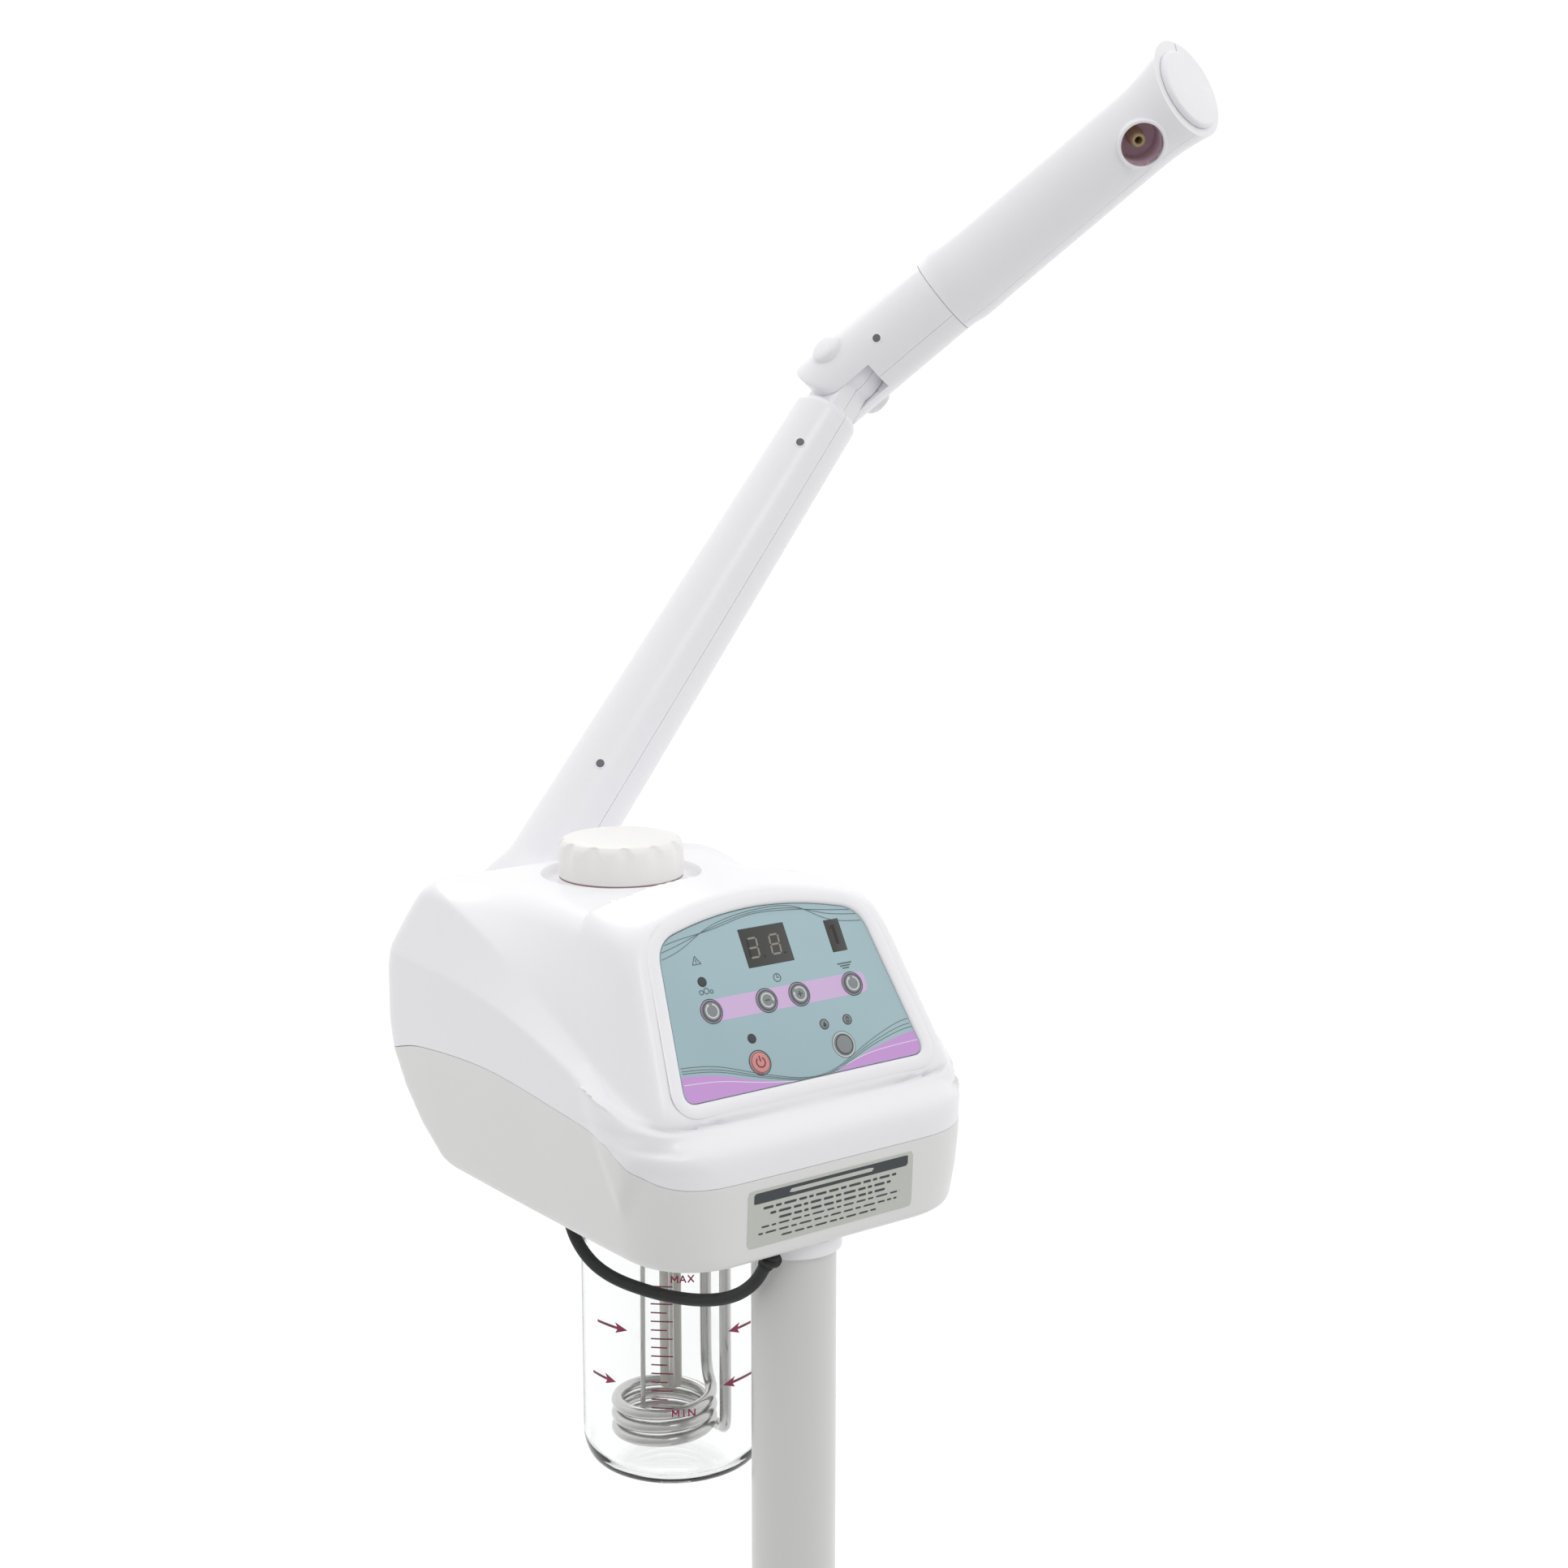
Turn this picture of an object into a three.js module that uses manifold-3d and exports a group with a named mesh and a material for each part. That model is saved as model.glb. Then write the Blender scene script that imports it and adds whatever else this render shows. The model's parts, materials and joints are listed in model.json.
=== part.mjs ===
// Facial steamer on a rolling stand: a heated water jar under a plastic head, a two-part arm
// that carries the steam to a nozzle, and a height-adjustable column on a five-star base.
// Millimetres, +Z up, -Y is the front with the control panel. The origin is on the column's
// axis, at the flat underside of the star base.

import * as THREE from 'three';
import { mergeVertices } from 'three/addons/utils/BufferGeometryUtils.js';
import Module from 'manifold-3d';

const wasm = await Module();
wasm.setup();

// ---------------------------------------------------------------- driving dimensions
const GAP = 0.3;                 // clearance between pieces that touch
const HEAD_Z = 850;              // underside of the head above the base's underside
const WALL = 3;                  // moulded wall thickness

const LEG_REACH = 262;           // caster stem from the column's axis
const LEG_COUNT = 5;
const HUB_RADIUS = 46;
const WHEEL_RADIUS = 25;
const WHEEL_TRAIL = 15;          // wheel axle behind the caster's stem
const WHEEL_DROP = 37;           // wheel axle below the base's underside

const COLUMN_RADIUS = 25;
const SLEEVE_RADIUS = 30;
const SLEEVE_TOP = 520;
const COLUMN_BOTTOM = 240;

const JAR_Y = 125;               // the jar's axis behind the column's axis
const JAR_RADIUS = 58;
const JAR_BOTTOM = -187;         // below the head's underside
const JAR_NECK_RADIUS = 47;

const CAP_Y = 180;               // filler cap's axis behind the column's axis
const CAP_RADIUS = 40;
const CAP_BASE = 180;
const CAP_HEIGHT = 24;

const PANEL_ANGLE = 59.8;        // control panel's lean from the horizontal, degrees
const PANEL_FOOT = [0, -13.5, 93.5];
const BUTTON_RADIUS = 6.6;

const ARM_Y = 313;               // the arm stands behind the head
const ARM_PIVOT_Z = 125;
const ARM_LEAN = 38.5;           // lower arm's lean from the vertical, degrees
const ARM_LENGTH = 466;          // pivot to elbow pin
const ARM_RADIUS = 29;
const ELBOW_FOLD = 35.5;         // forward bend at the elbow, degrees
const UPPER_RADIUS = 28.6;
const SWIVEL_AT = 86;            // elbow pin to the nozzle's swivel joint
const NOZZLE_ROLL = -13.6;       // nozzle's turn at rest, degrees
const NOZZLE_RADIUS = 30;
const OUTLET_AT = 172;           // swivel joint to the steam outlet
const NOZZLE_END = 217;          // swivel joint to the middle of the slanted end
const END_SLANT = 27;            // slant of the nozzle's end, degrees
const SEAM_TURN = 40;            // nozzle seam round from the outlet, degrees

const deg = THREE.MathUtils.degToRad;

// ---------------------------------------------------------------- finishes
const finishes = {
  white: [0xf4f4f6, 0.42, 0],
  lower: [0xececec, 0.45, 0],
  warm: [0xf3f2ec, 0.5, 0],
  column: [0xc9cac7, 0.35, 0.1],
  rubber: [0x2b2c2e, 0.8, 0],
  steel: [0xb9b9bb, 0.25, 1],
  glass: [0xdfe7ea, 0.05, 0],
  panel: [0xadc3c8, 0.5, 0],
  dark: [0x3c3f40, 0.4, 0],
  grey: [0x6d7376, 0.5, 0],
  red: [0xcf8f8f, 0.5, 0],
  board: [0x2f6b45, 0.6, 0],
  label: [0xcdd0c6, 0.5, 0],
  silicone: [0xe4e0d6, 0.7, 0],
  beige: [0xcdbb92, 0.6, 0],
};

function add(group, name, shape, finish) {
  const [color, roughness, metalness] = finishes[finish];
  const material = new THREE.MeshStandardMaterial({ color, roughness, metalness });
  const geometry = shape instanceof THREE.BufferGeometry ? shape : geometryOf(shape);
  const mesh = new THREE.Mesh(geometry, material);
  mesh.name = name;
  group.add(mesh);
  return mesh;
}

// ---------------------------------------------------------------- solids
function solid(geometry) {
  const bare = geometry.clone();
  bare.deleteAttribute('normal');
  bare.deleteAttribute('uv');
  const merged = mergeVertices(bare, 1e-4);
  return new wasm.Manifold(new wasm.Mesh({
    numProp: 3,
    vertProperties: new Float32Array(merged.attributes.position.array),
    triVerts: new Uint32Array(merged.index.array),
  }));
}

function geometryOf(manifold) {
  const mesh = manifold.getMesh();
  const geometry = new THREE.BufferGeometry();
  geometry.setAttribute('position', new THREE.BufferAttribute(mesh.vertProperties, 3));
  geometry.setIndex(new THREE.BufferAttribute(mesh.triVerts, 1));
  geometry.computeVertexNormals();
  return geometry;
}

function box(low, high) {
  const size = high.map((value, i) => value - low[i]);
  const geometry = new THREE.BoxGeometry(...size);
  geometry.translate(...high.map((value, i) => (value + low[i]) / 2));
  return solid(geometry);
}

// A round bar from one point to another, with its own radius at each end.
function rod(from, to, radius, endRadius = radius, sides = 14) {
  const start = new THREE.Vector3(...from);
  const along = new THREE.Vector3(...to).sub(start);
  const geometry = new THREE.CylinderGeometry(endRadius, radius, along.length(), sides);
  geometry.translate(0, along.length() / 2, 0);
  const turn = new THREE.Quaternion();
  turn.setFromUnitVectors(new THREE.Vector3(0, 1, 0), along.clone().normalize());
  geometry.applyQuaternion(turn);
  geometry.translate(...from);
  return solid(geometry);
}

// A round hole that a bar of the same radius fits, whatever its facets.
function bore(from, to, radius, endRadius = radius, sides = 14) {
  const reach = 1 / Math.cos(Math.PI / sides);
  return rod(from, to, radius * reach, endRadius * reach, sides);
}

// A solid of revolution about Z. The profile runs up the outside, as [radius, height].
function turned(profile, sides = 20) {
  const points = profile.map(([radius, height]) => new THREE.Vector2(radius, height));
  const geometry = new THREE.LatheGeometry(points, sides);
  geometry.rotateX(Math.PI / 2);
  return solid(geometry);
}

// A plate of an outline in the X-Y plane, from one height to another.
function plate(outline, from, to) {
  const shape = new THREE.Shape(outline.map(([x, y]) => new THREE.Vector2(x, y)));
  const geometry = new THREE.ExtrudeGeometry(shape, { depth: to - from, bevelEnabled: false });
  geometry.translate(0, 0, from);
  return solid(geometry);
}

// A round tube or bar along a smooth path through the given points.
function along(points, radius, steps, sides = 10) {
  const path = new THREE.CatmullRomCurve3(points.map((point) => new THREE.Vector3(...point)));
  const section = new THREE.Shape();
  section.absarc(0, 0, radius, 0, 2 * Math.PI);
  return new THREE.ExtrudeGeometry(section, {
    extrudePath: path, steps, curveSegments: sides / 2, bevelEnabled: false,
  });
}

function joined(pieces) {
  return pieces.reduce((whole, piece) => whole.add(piece));
}

function cut(body, tools) {
  return tools.reduce((rest, tool) => rest.subtract(tool), body);
}

// A closed outline whose corners are rounded, each with the same number of points.
function roundedOutline(corners, steps = 2) {
  const points = [];
  corners.forEach(([x, y, radius], i) => {
    const before = corners[(i + corners.length - 1) % corners.length];
    const after = corners[(i + 1) % corners.length];
    const ends = [before, after].map(([nx, ny]) => {
      const length = Math.hypot(nx - x, ny - y);
      const share = Math.min(radius / length, 0.48);
      return [x + (nx - x) * share, y + (ny - y) * share];
    });
    for (let k = 0; k <= steps; k += 1) {
      const t = k / steps;
      const weights = [(1 - t) ** 2, 2 * t * (1 - t), t ** 2];
      points.push([0, 1].map((axis) => (
        weights[0] * ends[0][axis] + weights[1] * [x, y][axis] + weights[2] * ends[1][axis])));
    }
  });
  return points;
}

// A closed skin through outlines of equal count at rising heights.
function loft(levels) {
  const count = levels[0].outline.length;
  const positions = levels.flatMap(({ z, outline }) => outline.flatMap(([x, y]) => [x, y, z]));
  const faces = [];
  for (let level = 0; level < levels.length - 1; level += 1) {
    for (let i = 0; i < count; i += 1) {
      const a = level * count + i;
      const b = level * count + ((i + 1) % count);
      faces.push(a, b, b + count, a, b + count, a + count);
    }
  }
  const top = (levels.length - 1) * count;
  const cap = (outline) => THREE.ShapeUtils.triangulateShape(
    outline.map(([x, y]) => new THREE.Vector2(x, y)), []);
  cap(levels[0].outline).forEach(([a, b, c]) => faces.push(a, c, b));
  cap(levels.at(-1).outline).forEach(([a, b, c]) => faces.push(top + a, top + b, top + c));
  const geometry = new THREE.BufferGeometry();
  geometry.setAttribute('position', new THREE.Float32BufferAttribute(positions, 3));
  geometry.setIndex(faces);
  return solid(geometry);
}

// ---------------------------------------------------------------- stand
function makeStand(group) {
  const hub = rod([0, 0, 0], [0, 0, 44], HUB_RADIUS);
  const legOutline = [[30, 0], [LEG_REACH + 16, 0], [LEG_REACH + 16, 17], [40, 40], [30, 40]];
  const legs = [];
  const stemHoles = [];
  for (let i = 0; i < LEG_COUNT; i += 1) {
    const leg = plate(legOutline, -16, 16).rotate([90, 0, 0]).rotate([0, 0, legAngle(i)]);
    legs.push(leg);
    const [x, y] = legEnd(i);
    stemHoles.push(bore([x, y, -1], [x, y, 15], 5.4, 5.4, 16));
  }
  const sleeveBore = bore([0, 0, 6], [0, 0, 60], SLEEVE_RADIUS + GAP);
  add(group, 'star_base', cut(joined([hub, ...legs]), [sleeveBore, ...stemHoles]), 'white');

  const stud = bore([20, 0, 505], [60, 0, 505], 4.5, 4.5, 16);
  const sleeve = rod([0, 0, 6 + GAP], [0, 0, SLEEVE_TOP], SLEEVE_RADIUS, SLEEVE_RADIUS, 24);
  const sleeveInside = bore([0, 0, 0], [0, 0, 600], 27, 27, 24);
  add(group, 'column_sleeve', cut(sleeve, [sleeveInside, stud]), 'column');
  const bush = turned([[25.4, 430], [26.7, 430], [26.7, 490], [25.4, 490], [25.4, 430]], 24);
  add(group, 'sleeve_bush', bush, 'dark');

  const collar = joined([
    rod([0, 0, 486], [0, 0, 532], 37, 34, 24),
    rod([30, 0, 505], [47, 0, 505], 10, 9, 14),
  ]);
  const collarBore = bore([0, 0, 480], [0, 0, SLEEVE_TOP + GAP], SLEEVE_RADIUS + GAP, undefined, 24);
  const tubeBore = bore([0, 0, 510], [0, 0, 540], COLUMN_RADIUS + 0.5, undefined, 24);
  add(group, 'clamp_collar', cut(collar, [collarBore, tubeBore, stud]), 'dark');

  const knobOutline = lobedOutline(18, 1.8, 6, 24);
  const knob = joined([
    plate(knobOutline, 48, 66).rotate([0, 90, 0]).translate([0, 0, 505]),
    rod([25.6, 0, 505], [50, 0, 505], 4, 4, 16),
  ]);
  add(group, 'clamp_knob', knob, 'dark');
}

function legAngle(i) {
  return 90 + (i * 360) / LEG_COUNT;
}

function legEnd(i) {
  const angle = deg(legAngle(i));
  return [LEG_REACH * Math.cos(angle), LEG_REACH * Math.sin(angle)];
}

function lobedOutline(radius, depth, lobes, count) {
  return Array.from({ length: count }, (_, i) => {
    const angle = (i * 2 * Math.PI) / count;
    const reach = radius + depth * Math.cos(lobes * angle);
    return [reach * Math.cos(angle), reach * Math.sin(angle)];
  });
}

function makeCaster(group, i) {
  const caster = new THREE.Group();
  const [x, y] = legEnd(i);
  caster.position.set(x, y, 0);
  caster.rotation.z = deg(legAngle(i) - 90);
  const axle = [0, WHEEL_TRAIL, -WHEEL_DROP];
  const cheek = (side) => {
    const outline = [[-7, -3], [27, -3], [27, -30], [20, -44], [9, -44], [-7, -12]];
    return plate(outline, 13, 15.6).rotate([90, 0, 90]).translate([side < 0 ? -28.6 : 0, 0, 0]);
  };
  const fork = joined([
    rod([0, 0, -7], [0, 0, -GAP], 15.6),
    rod([0, 0, -2], [0, 0, 14], 5, 5, 16),
    box([-15.6, -7, -7], [15.6, 27, -3]),
    cheek(1),
    cheek(-1),
  ]);
  const axleHole = bore([-20, axle[1], axle[2]], [20, axle[1], axle[2]], 4, 4, 16);
  add(caster, `caster_fork_${i + 1}`, cut(fork, [axleHole]), 'dark');
  const wheel = joined([
    rod([-11.5, axle[1], axle[2]], [11.5, axle[1], axle[2]], WHEEL_RADIUS, WHEEL_RADIUS, 24),
    rod([-15.2, axle[1], axle[2]], [15.2, axle[1], axle[2]], 3.6, 3.6, 16),
  ]);
  add(caster, `caster_wheel_${i + 1}`, wheel, 'rubber');
  group.add(caster);
}

// ---------------------------------------------------------------- head shell
// Each level: height, then half-width and Y of the front corner, the shoulder, the side and
// the rear corner, and the radii of the front and the rear corners.
const headLevels = [
  [0, [105, -32], [109, 40], [112, 140], [111, 222], 24, 20],
  [4, [109, -34.5], [113, 40], [115, 140], [114, 229], 28, 22],
  [45, [117, -37], [119, 40], [120, 140], [118, 263], 32, 22],
  [67, [118, -38], [120, 40], [121, 140], [119, 280], 32, 22],
  [80, [116, -35], [119, 30], [121, 120], [119, 282], 30, 22],
  [88, [107, -27], [111, 18], [120, 60], [119, 282], 26, 22],
  [98, [98, -15], [106, 40], [119, 62], [119, 282], 22, 22],
  [112, [94, -6], [108, 63], [119, 86], [118, 282], 20, 22],
  [130, [89, 5], [111, 92], [117, 150], [117, 281], 18, 22],
  [150, [85, 17], [112, 128], [114, 190], [115, 268], 16, 20],
  [165, [82, 27], [110, 165], [112, 215], [113, 257], 16, 18],
  [175, [77, 37], [105, 195], [107, 222], [108, 249], 14, 16],
  [180, [70, 48], [92, 150], [98, 200], [98, 240], 14, 14],
  [182, [60, 58], [80, 120], [86, 180], [86, 226], 12, 12],
];

function headSkin(inset) {
  const levels = headLevels.map(([z, front, shoulder, side, rear, frontRadius, rearRadius]) => {
    const right = [
      [front[0] - inset, front[1] + inset, frontRadius],
      [shoulder[0] - inset, shoulder[1] + inset / 2, 12],
      [side[0] - inset, side[1], 12],
      [rear[0] - inset, rear[1] - inset, rearRadius],
    ];
    const left = right.map(([x, y, radius]) => [-x, y, radius]).reverse();
    return { z, outline: roundedOutline([...right, ...left]) };
  });
  if (inset > 0) {
    levels[0].z += inset;
    levels[1].z += inset;
    levels.at(-1).z -= inset;
    levels.at(-2).z -= inset;
  }
  return loft(levels);
}

// The seam between the covers, seen from the side: [y, height].
const seamPoints = [[-60, 50], [-36, 51], [-15, 57], [7, 69], [30, 74], [67, 78], [146, 83],
  [228, 77], [276, 66], [330, 62]];

function belowSeam(drop) {
  const curve = new THREE.SplineCurve(seamPoints.map(([y, z]) => new THREE.Vector2(y, z - drop)));
  const outline = curve.getPoints(18).map((point) => [point.x, point.y]);
  outline.push([330, -80], [-60, -80]);
  return plate(outline.reverse(), -160, 160).rotate([90, 0, 90]);
}

// ---------------------------------------------------------------- control panel
const labelCorners = [[-86, 0, 8], [86, 0, 8], [72.5, 94, 14], [36, 103, 30], [0, 106, 30],
  [-36, 103, 30], [-72.5, 94, 14]];
const bezelCorners = [[-96, -10, 14], [96, -10, 14], [82, 100, 22], [40, 113, 34], [0, 116, 34],
  [-40, 113, 34], [-82, 100, 22]];
const buttons = {
  ozone_button: [-50.8, 49.3, 'grey'],
  minus_button: [-12, 49.3, 'grey'],
  plus_button: [11.5, 49.3, 'grey'],
  energy_button: [50.7, 49.3, 'grey'],
  power_button: [-29.5, 15, 'red'],
  mode_button: [31, 15, 'grey'],
};
const windows = {
  timer_display: [[-17, 69.6], [16, 93.4]],
  level_display: [[44.5, 69.8], [55.6, 90]],
};

function onPanel(manifold) {
  return manifold.rotate([PANEL_ANGLE, 0, 0]).translate(PANEL_FOOT);
}

function buttonHoles(radius) {
  return Object.values(buttons).map(([u, v]) => bore([u, v, -12], [u, v, 12], radius, radius, 14));
}

function windowHoles(margin) {
  return Object.values(windows).map(([low, high]) => box(
    [low[0] - margin, low[1] - margin, -12], [high[0] + margin, high[1] + margin, 12]));
}

function makePanel(group) {
  const panel = new THREE.Group();
  panel.position.set(...PANEL_FOOT);
  panel.rotation.x = deg(PANEL_ANGLE);
  const label = plate(roundedOutline(labelCorners), GAP, 1.5);
  const holes = [...buttonHoles(BUTTON_RADIUS + 0.5), ...windowHoles(GAP)];
  add(panel, 'control_label', cut(label, holes), 'panel');
  add(panel, 'control_board', box([-74, 6, -9], [74, 90, -7.4]), 'board');
  for (const [name, [low, high]] of Object.entries(windows)) {
    add(panel, name, box([...low, -7], [...high, 1.2]), 'dark');
  }
  for (const [name, [u, v, finish]] of Object.entries(buttons)) {
    const button = joined([
      rod([u, v, -4.6], [u, v, 2.3], BUTTON_RADIUS, BUTTON_RADIUS - 0.4, 14),
      rod([u, v, -5.4], [u, v, -3.4], BUTTON_RADIUS + 1.6, undefined, 14),
    ]);
    add(panel, name, button, finish);
  }
  group.add(panel);
}

// ---------------------------------------------------------------- head covers
// Where each gland meets the lead, and the way it points there.
const frontGland = { at: [-36, -20, -9], way: [-0.086, 0.519, -0.85] };
const rearGland = { at: [-82, 116.8, -6], way: [0.07, -0.255, -0.964] };

// The gland's centre on the underside, straight behind its mouth.
function glandFoot({ at, way }) {
  const back = (-1 - at[2]) / way[2];
  return [at[0] + way[0] * back, at[1] + way[1] * back];
}

const inletCentre = [-70, 197];

const labelPocket = labelCorners.map(([u, v, r]) => [u * 1.004, v === 0 ? -0.4 : v + 0.4, r]);

function makeCovers(group) {
  const shell = headSkin(0).subtract(headSkin(WALL));
  const below = belowSeam(GAP / 2);
  const aboveToo = belowSeam(-GAP / 2);

  const collar = turned([[48, -20], [62, -20], [62, 2], [48, 2], [48, -20]], 28)
    .translate([0, JAR_Y, 0]);
  const lowerHoles = [
    bore([0, JAR_Y, -30], [0, JAR_Y, 12], 48, 48, 28),
    bore([0, 0, -5], [0, 0, 5], 29.2),
    ...[frontGland, rearGland].map(glandFoot).map(([x, y]) => bore([x, y, -3], [x, y, 6], 5.2)),
    box([-14.5, -10.5, -3], [14.5, 10.5, 6]).translate([...inletCentre, 0]),
  ];
  const lower = cut(joined([shell.intersect(below), collar]), lowerHoles);
  add(group, 'lower_cover', lower, 'lower');

  const bezel = onPanel(plate(roundedOutline(bezelCorners), -3, 2.4));
  const dishPlate = rod([0, CAP_Y, 170.5], [0, CAP_Y, 180], 51, 51, 28);
  const upperHoles = [
    onPanel(plate(roundedOutline(labelPocket), 0, 9)),
    ...buttonHoles(BUTTON_RADIUS + 0.5).map(onPanel),
    ...windowHoles(0.4).map(onPanel),
    bore([0, CAP_Y, 174.5], [0, CAP_Y, 190], 48, 50, 28),
    bore([0, CAP_Y, 160], [0, CAP_Y, 180], 31.5, 31.5, 24),
    bore([0, 265, ARM_PIVOT_Z], [0, 290, ARM_PIVOT_Z], 12.5),
  ];
  const insideSkin = headSkin(0).subtract(aboveToo);
  const upperBody = joined([shell.subtract(aboveToo), bezel, dishPlate.intersect(insideSkin)]);
  add(group, 'upper_cover', cut(upperBody, upperHoles), 'white');
}

function makeFiller(group) {
  const neck = turned([[7.8, 163], [31, 163], [31, 174.8], [39.4, 174.8], [39.4, CAP_BASE - GAP],
    [31, CAP_BASE - GAP], [31, 195], [26, 195], [26, 168], [7.8, 166], [7.8, 163]]);
  add(group, 'filler_neck', neck.translate([0, CAP_Y, 0]), 'warm');
  const lobes = lobedOutline(CAP_RADIUS - 0.7, 0.7, 12, 48);
  const cap = cut(plate(lobes, CAP_BASE, CAP_BASE + CAP_HEIGHT), [
    bore([0, 0, CAP_BASE - 1], [0, 0, CAP_BASE + 19], 32, 32, 24),
  ]).translate([0, CAP_Y, 0]);
  add(group, 'filler_cap', cap, 'warm');
  const fill = [[0, CAP_Y, 162.6], [0, CAP_Y, 148], [2, 168, 100], [5, 144, 52], [6, 138, 28],
    [6, 138, 12], [6, 138, -60], [6, 138, -148]];
  add(group, 'fill_tube', along(fill, 7, 18, 8), 'silicone');
}

// ---------------------------------------------------------------- boiler
function makeBoiler(group) {
  const lid = cut(joined([
    rod([0, JAR_Y, 3.4], [0, JAR_Y, 8.5], 56, 56, 24),
    rod([0, JAR_Y, 1.7], [0, JAR_Y, 4], 47.4, 47.4, 24),
  ]), [bore([6, 138, -5], [6, 138, 15], 7.4, 7.4, 16)]);
  add(group, 'boiler_lid', lid, 'steel');
  const gasket = turned([[43.6, -1.6], [46.9, -1.6], [46.9, 1.4], [43.6, 1.4], [43.6, -1.6]]);
  add(group, 'jar_gasket', gasket.translate([0, JAR_Y, 0]), 'silicone');
  const jar = turned([[0, JAR_BOTTOM], [46, JAR_BOTTOM], [54, JAR_BOTTOM + 4],
    [JAR_RADIUS, JAR_BOTTOM + 14], [JAR_RADIUS, -42], [55, -31], [JAR_NECK_RADIUS, -23],
    [JAR_NECK_RADIUS, -2], [44, -2], [44, -25], [53, -34], [54.6, -44],
    [54.6, JAR_BOTTOM + 15], [51, JAR_BOTTOM + 8], [45, JAR_BOTTOM + 5], [0, JAR_BOTTOM + 5]], 28);
  add(group, 'glass_jar', jar.translate([0, JAR_Y, 0]), 'glass');
  add(group, 'heater_coil', heaterCoil(), 'steel');
  add(group, 'level_probe_long', rod([-23, 125, 1.4], [-26, 122, -150], 1.6, 1.6, 10), 'steel');
  add(group, 'level_probe_short', rod([-5, 121, 1.4], [-5, 121, -140], 1.6, 1.6, 10), 'steel');
  const steam = [[-24, 140, 8.8], [-24, 140, 40], [-20, 160, 78], [-8, 205, 108],
    [0, 240, 122], [0, 267.6, ARM_PIVOT_Z]];
  add(group, 'steam_hose', along(steam, 7, 14, 8), 'silicone');
  const lamp = joined([
    rod([32, 142, 8.8], [32, 142, 22], 10, 10, 16),
    rod([32, 142, 22], [32, 142, 64], 8, 6, 16),
  ]);
  add(group, 'ozone_lamp', lamp, 'glass');
  const board = joined([
    box([62, 70, 14], [108, 190, 15.6]),
    box([68, 80, 15], [104, 118, 44]),
    box([70, 135, 15], [100, 160, 30]),
    box([64, 72, 3 + GAP], [70, 78, 15]),
    box([64, 182, 3 + GAP], [70, 188, 15]),
  ]);
  add(group, 'power_board', board, 'board');
}

// Three turns of tube with both legs rising to the lid.
function heaterCoil() {
  const centre = [-6, 128];
  const turnRadius = 30;
  const pitch = 8.8;
  const foot = JAR_BOTTOM + 16;
  const at = (radius, angle, z) => [
    centre[0] + radius * Math.cos(deg(angle)), centre[1] + radius * Math.sin(deg(angle)), z];
  const points = [at(40, -50, 1.4), at(40, -50, -60), at(40, -50, -130), at(40, -50, -156),
    at(38.5, -44, -167), at(35, -28, foot)];
  const first = 0;
  const last = 1050;
  for (let angle = first; angle <= last; angle += 30) {
    points.push(at(turnRadius, angle, foot + (pitch * (angle - first)) / 360));
  }
  const top = foot + (pitch * (last - first)) / 360;
  points.push(at(turnRadius, 1068, top + 8), at(turnRadius, 1072, top + 24));
  points.push(at(turnRadius, 1072, -70), at(turnRadius, 1072, 1.4));
  return along(points, 3.7, 84, 6);
}

// ---------------------------------------------------------------- fittings under the head
// The short lead that hangs from the front gland to the rear one, as [x, y, height].
const leadRoute = [
  [-36.0, -20.0, -9.0], [-36.6, -16.4, -14.9], [-37.4, -12.2, -20.4], [-38.4, -7.0, -25.5],
  [-39.6, -1.2, -30.0], [-41.2, 5.5, -34.0], [-43.2, 13.0, -37.4], [-45.8, 21.5, -40.2],
  [-48.8, 30.5, -42.3], [-52.2, 39.8, -43.6], [-56.0, 49.2, -44.2], [-60.0, 58.8, -44.1],
  [-64.2, 68.4, -43.3], [-68.4, 78.0, -41.9], [-72.4, 87.4, -39.4], [-75.9, 96.2, -35.4],
  [-78.5, 104.0, -29.7], [-80.3, 110.3, -22.6], [-81.4, 114.6, -14.6], [-82.0, 116.8, -6.0],
];
const LEAD_RADIUS = 3.75;

function makeFittings(group) {
  const socket = cut(joined([
    rod([0, 0, -9], [0, 0, 46], 28.2, undefined, 24),
    box([-26, -16, 3 + GAP], [36, 44, 7]),
  ]), [bore([0, 0, -10], [0, 0, 42], COLUMN_RADIUS + GAP, undefined, 24)]);
  add(group, 'column_socket', socket, 'white');
  for (const [name, gland] of Object.entries({ front_gland: frontGland, rear_gland: rearGland })) {
    const way = new THREE.Vector3(...gland.way).normalize();
    const tip = way.clone().multiplyScalar(-GAP).add(new THREE.Vector3(...gland.at));
    const [x, y] = glandFoot(gland);
    const body = joined([
      rod([x, y, -1.5], [x, y, WALL - GAP], 4.9),
      rod([x, y, -3.4], [x, y, -GAP], 7.2),
      rod([x + way.x * 2.2, y + way.y * 2.2, -1 + way.z * 2.2], tip.toArray(), 5, 4.4, 14),
    ]);
    add(group, name, body, 'rubber');
  }
  add(group, 'jumper_lead', along(leadRoute, LEAD_RADIUS, 48, 8), 'rubber');
  const [x, y] = inletCentre;
  const inlet = cut(joined([
    box([x - 14, y - 10, -1], [x + 14, y + 10, 24]),
    box([x - 20, y - 14, -2.6], [x + 20, y + 14, -GAP]),
  ]), [box([x - 11.5, y - 7.5, -4], [x + 11.5, y + 7.5, 18])]);
  add(group, 'mains_inlet', inlet, 'rubber');
  const frontLabel = box([-59.5, -38.4, 11], [59.5, -37.6, 45]);
  add(group, 'front_label', frontLabel, 'label');
}

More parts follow.
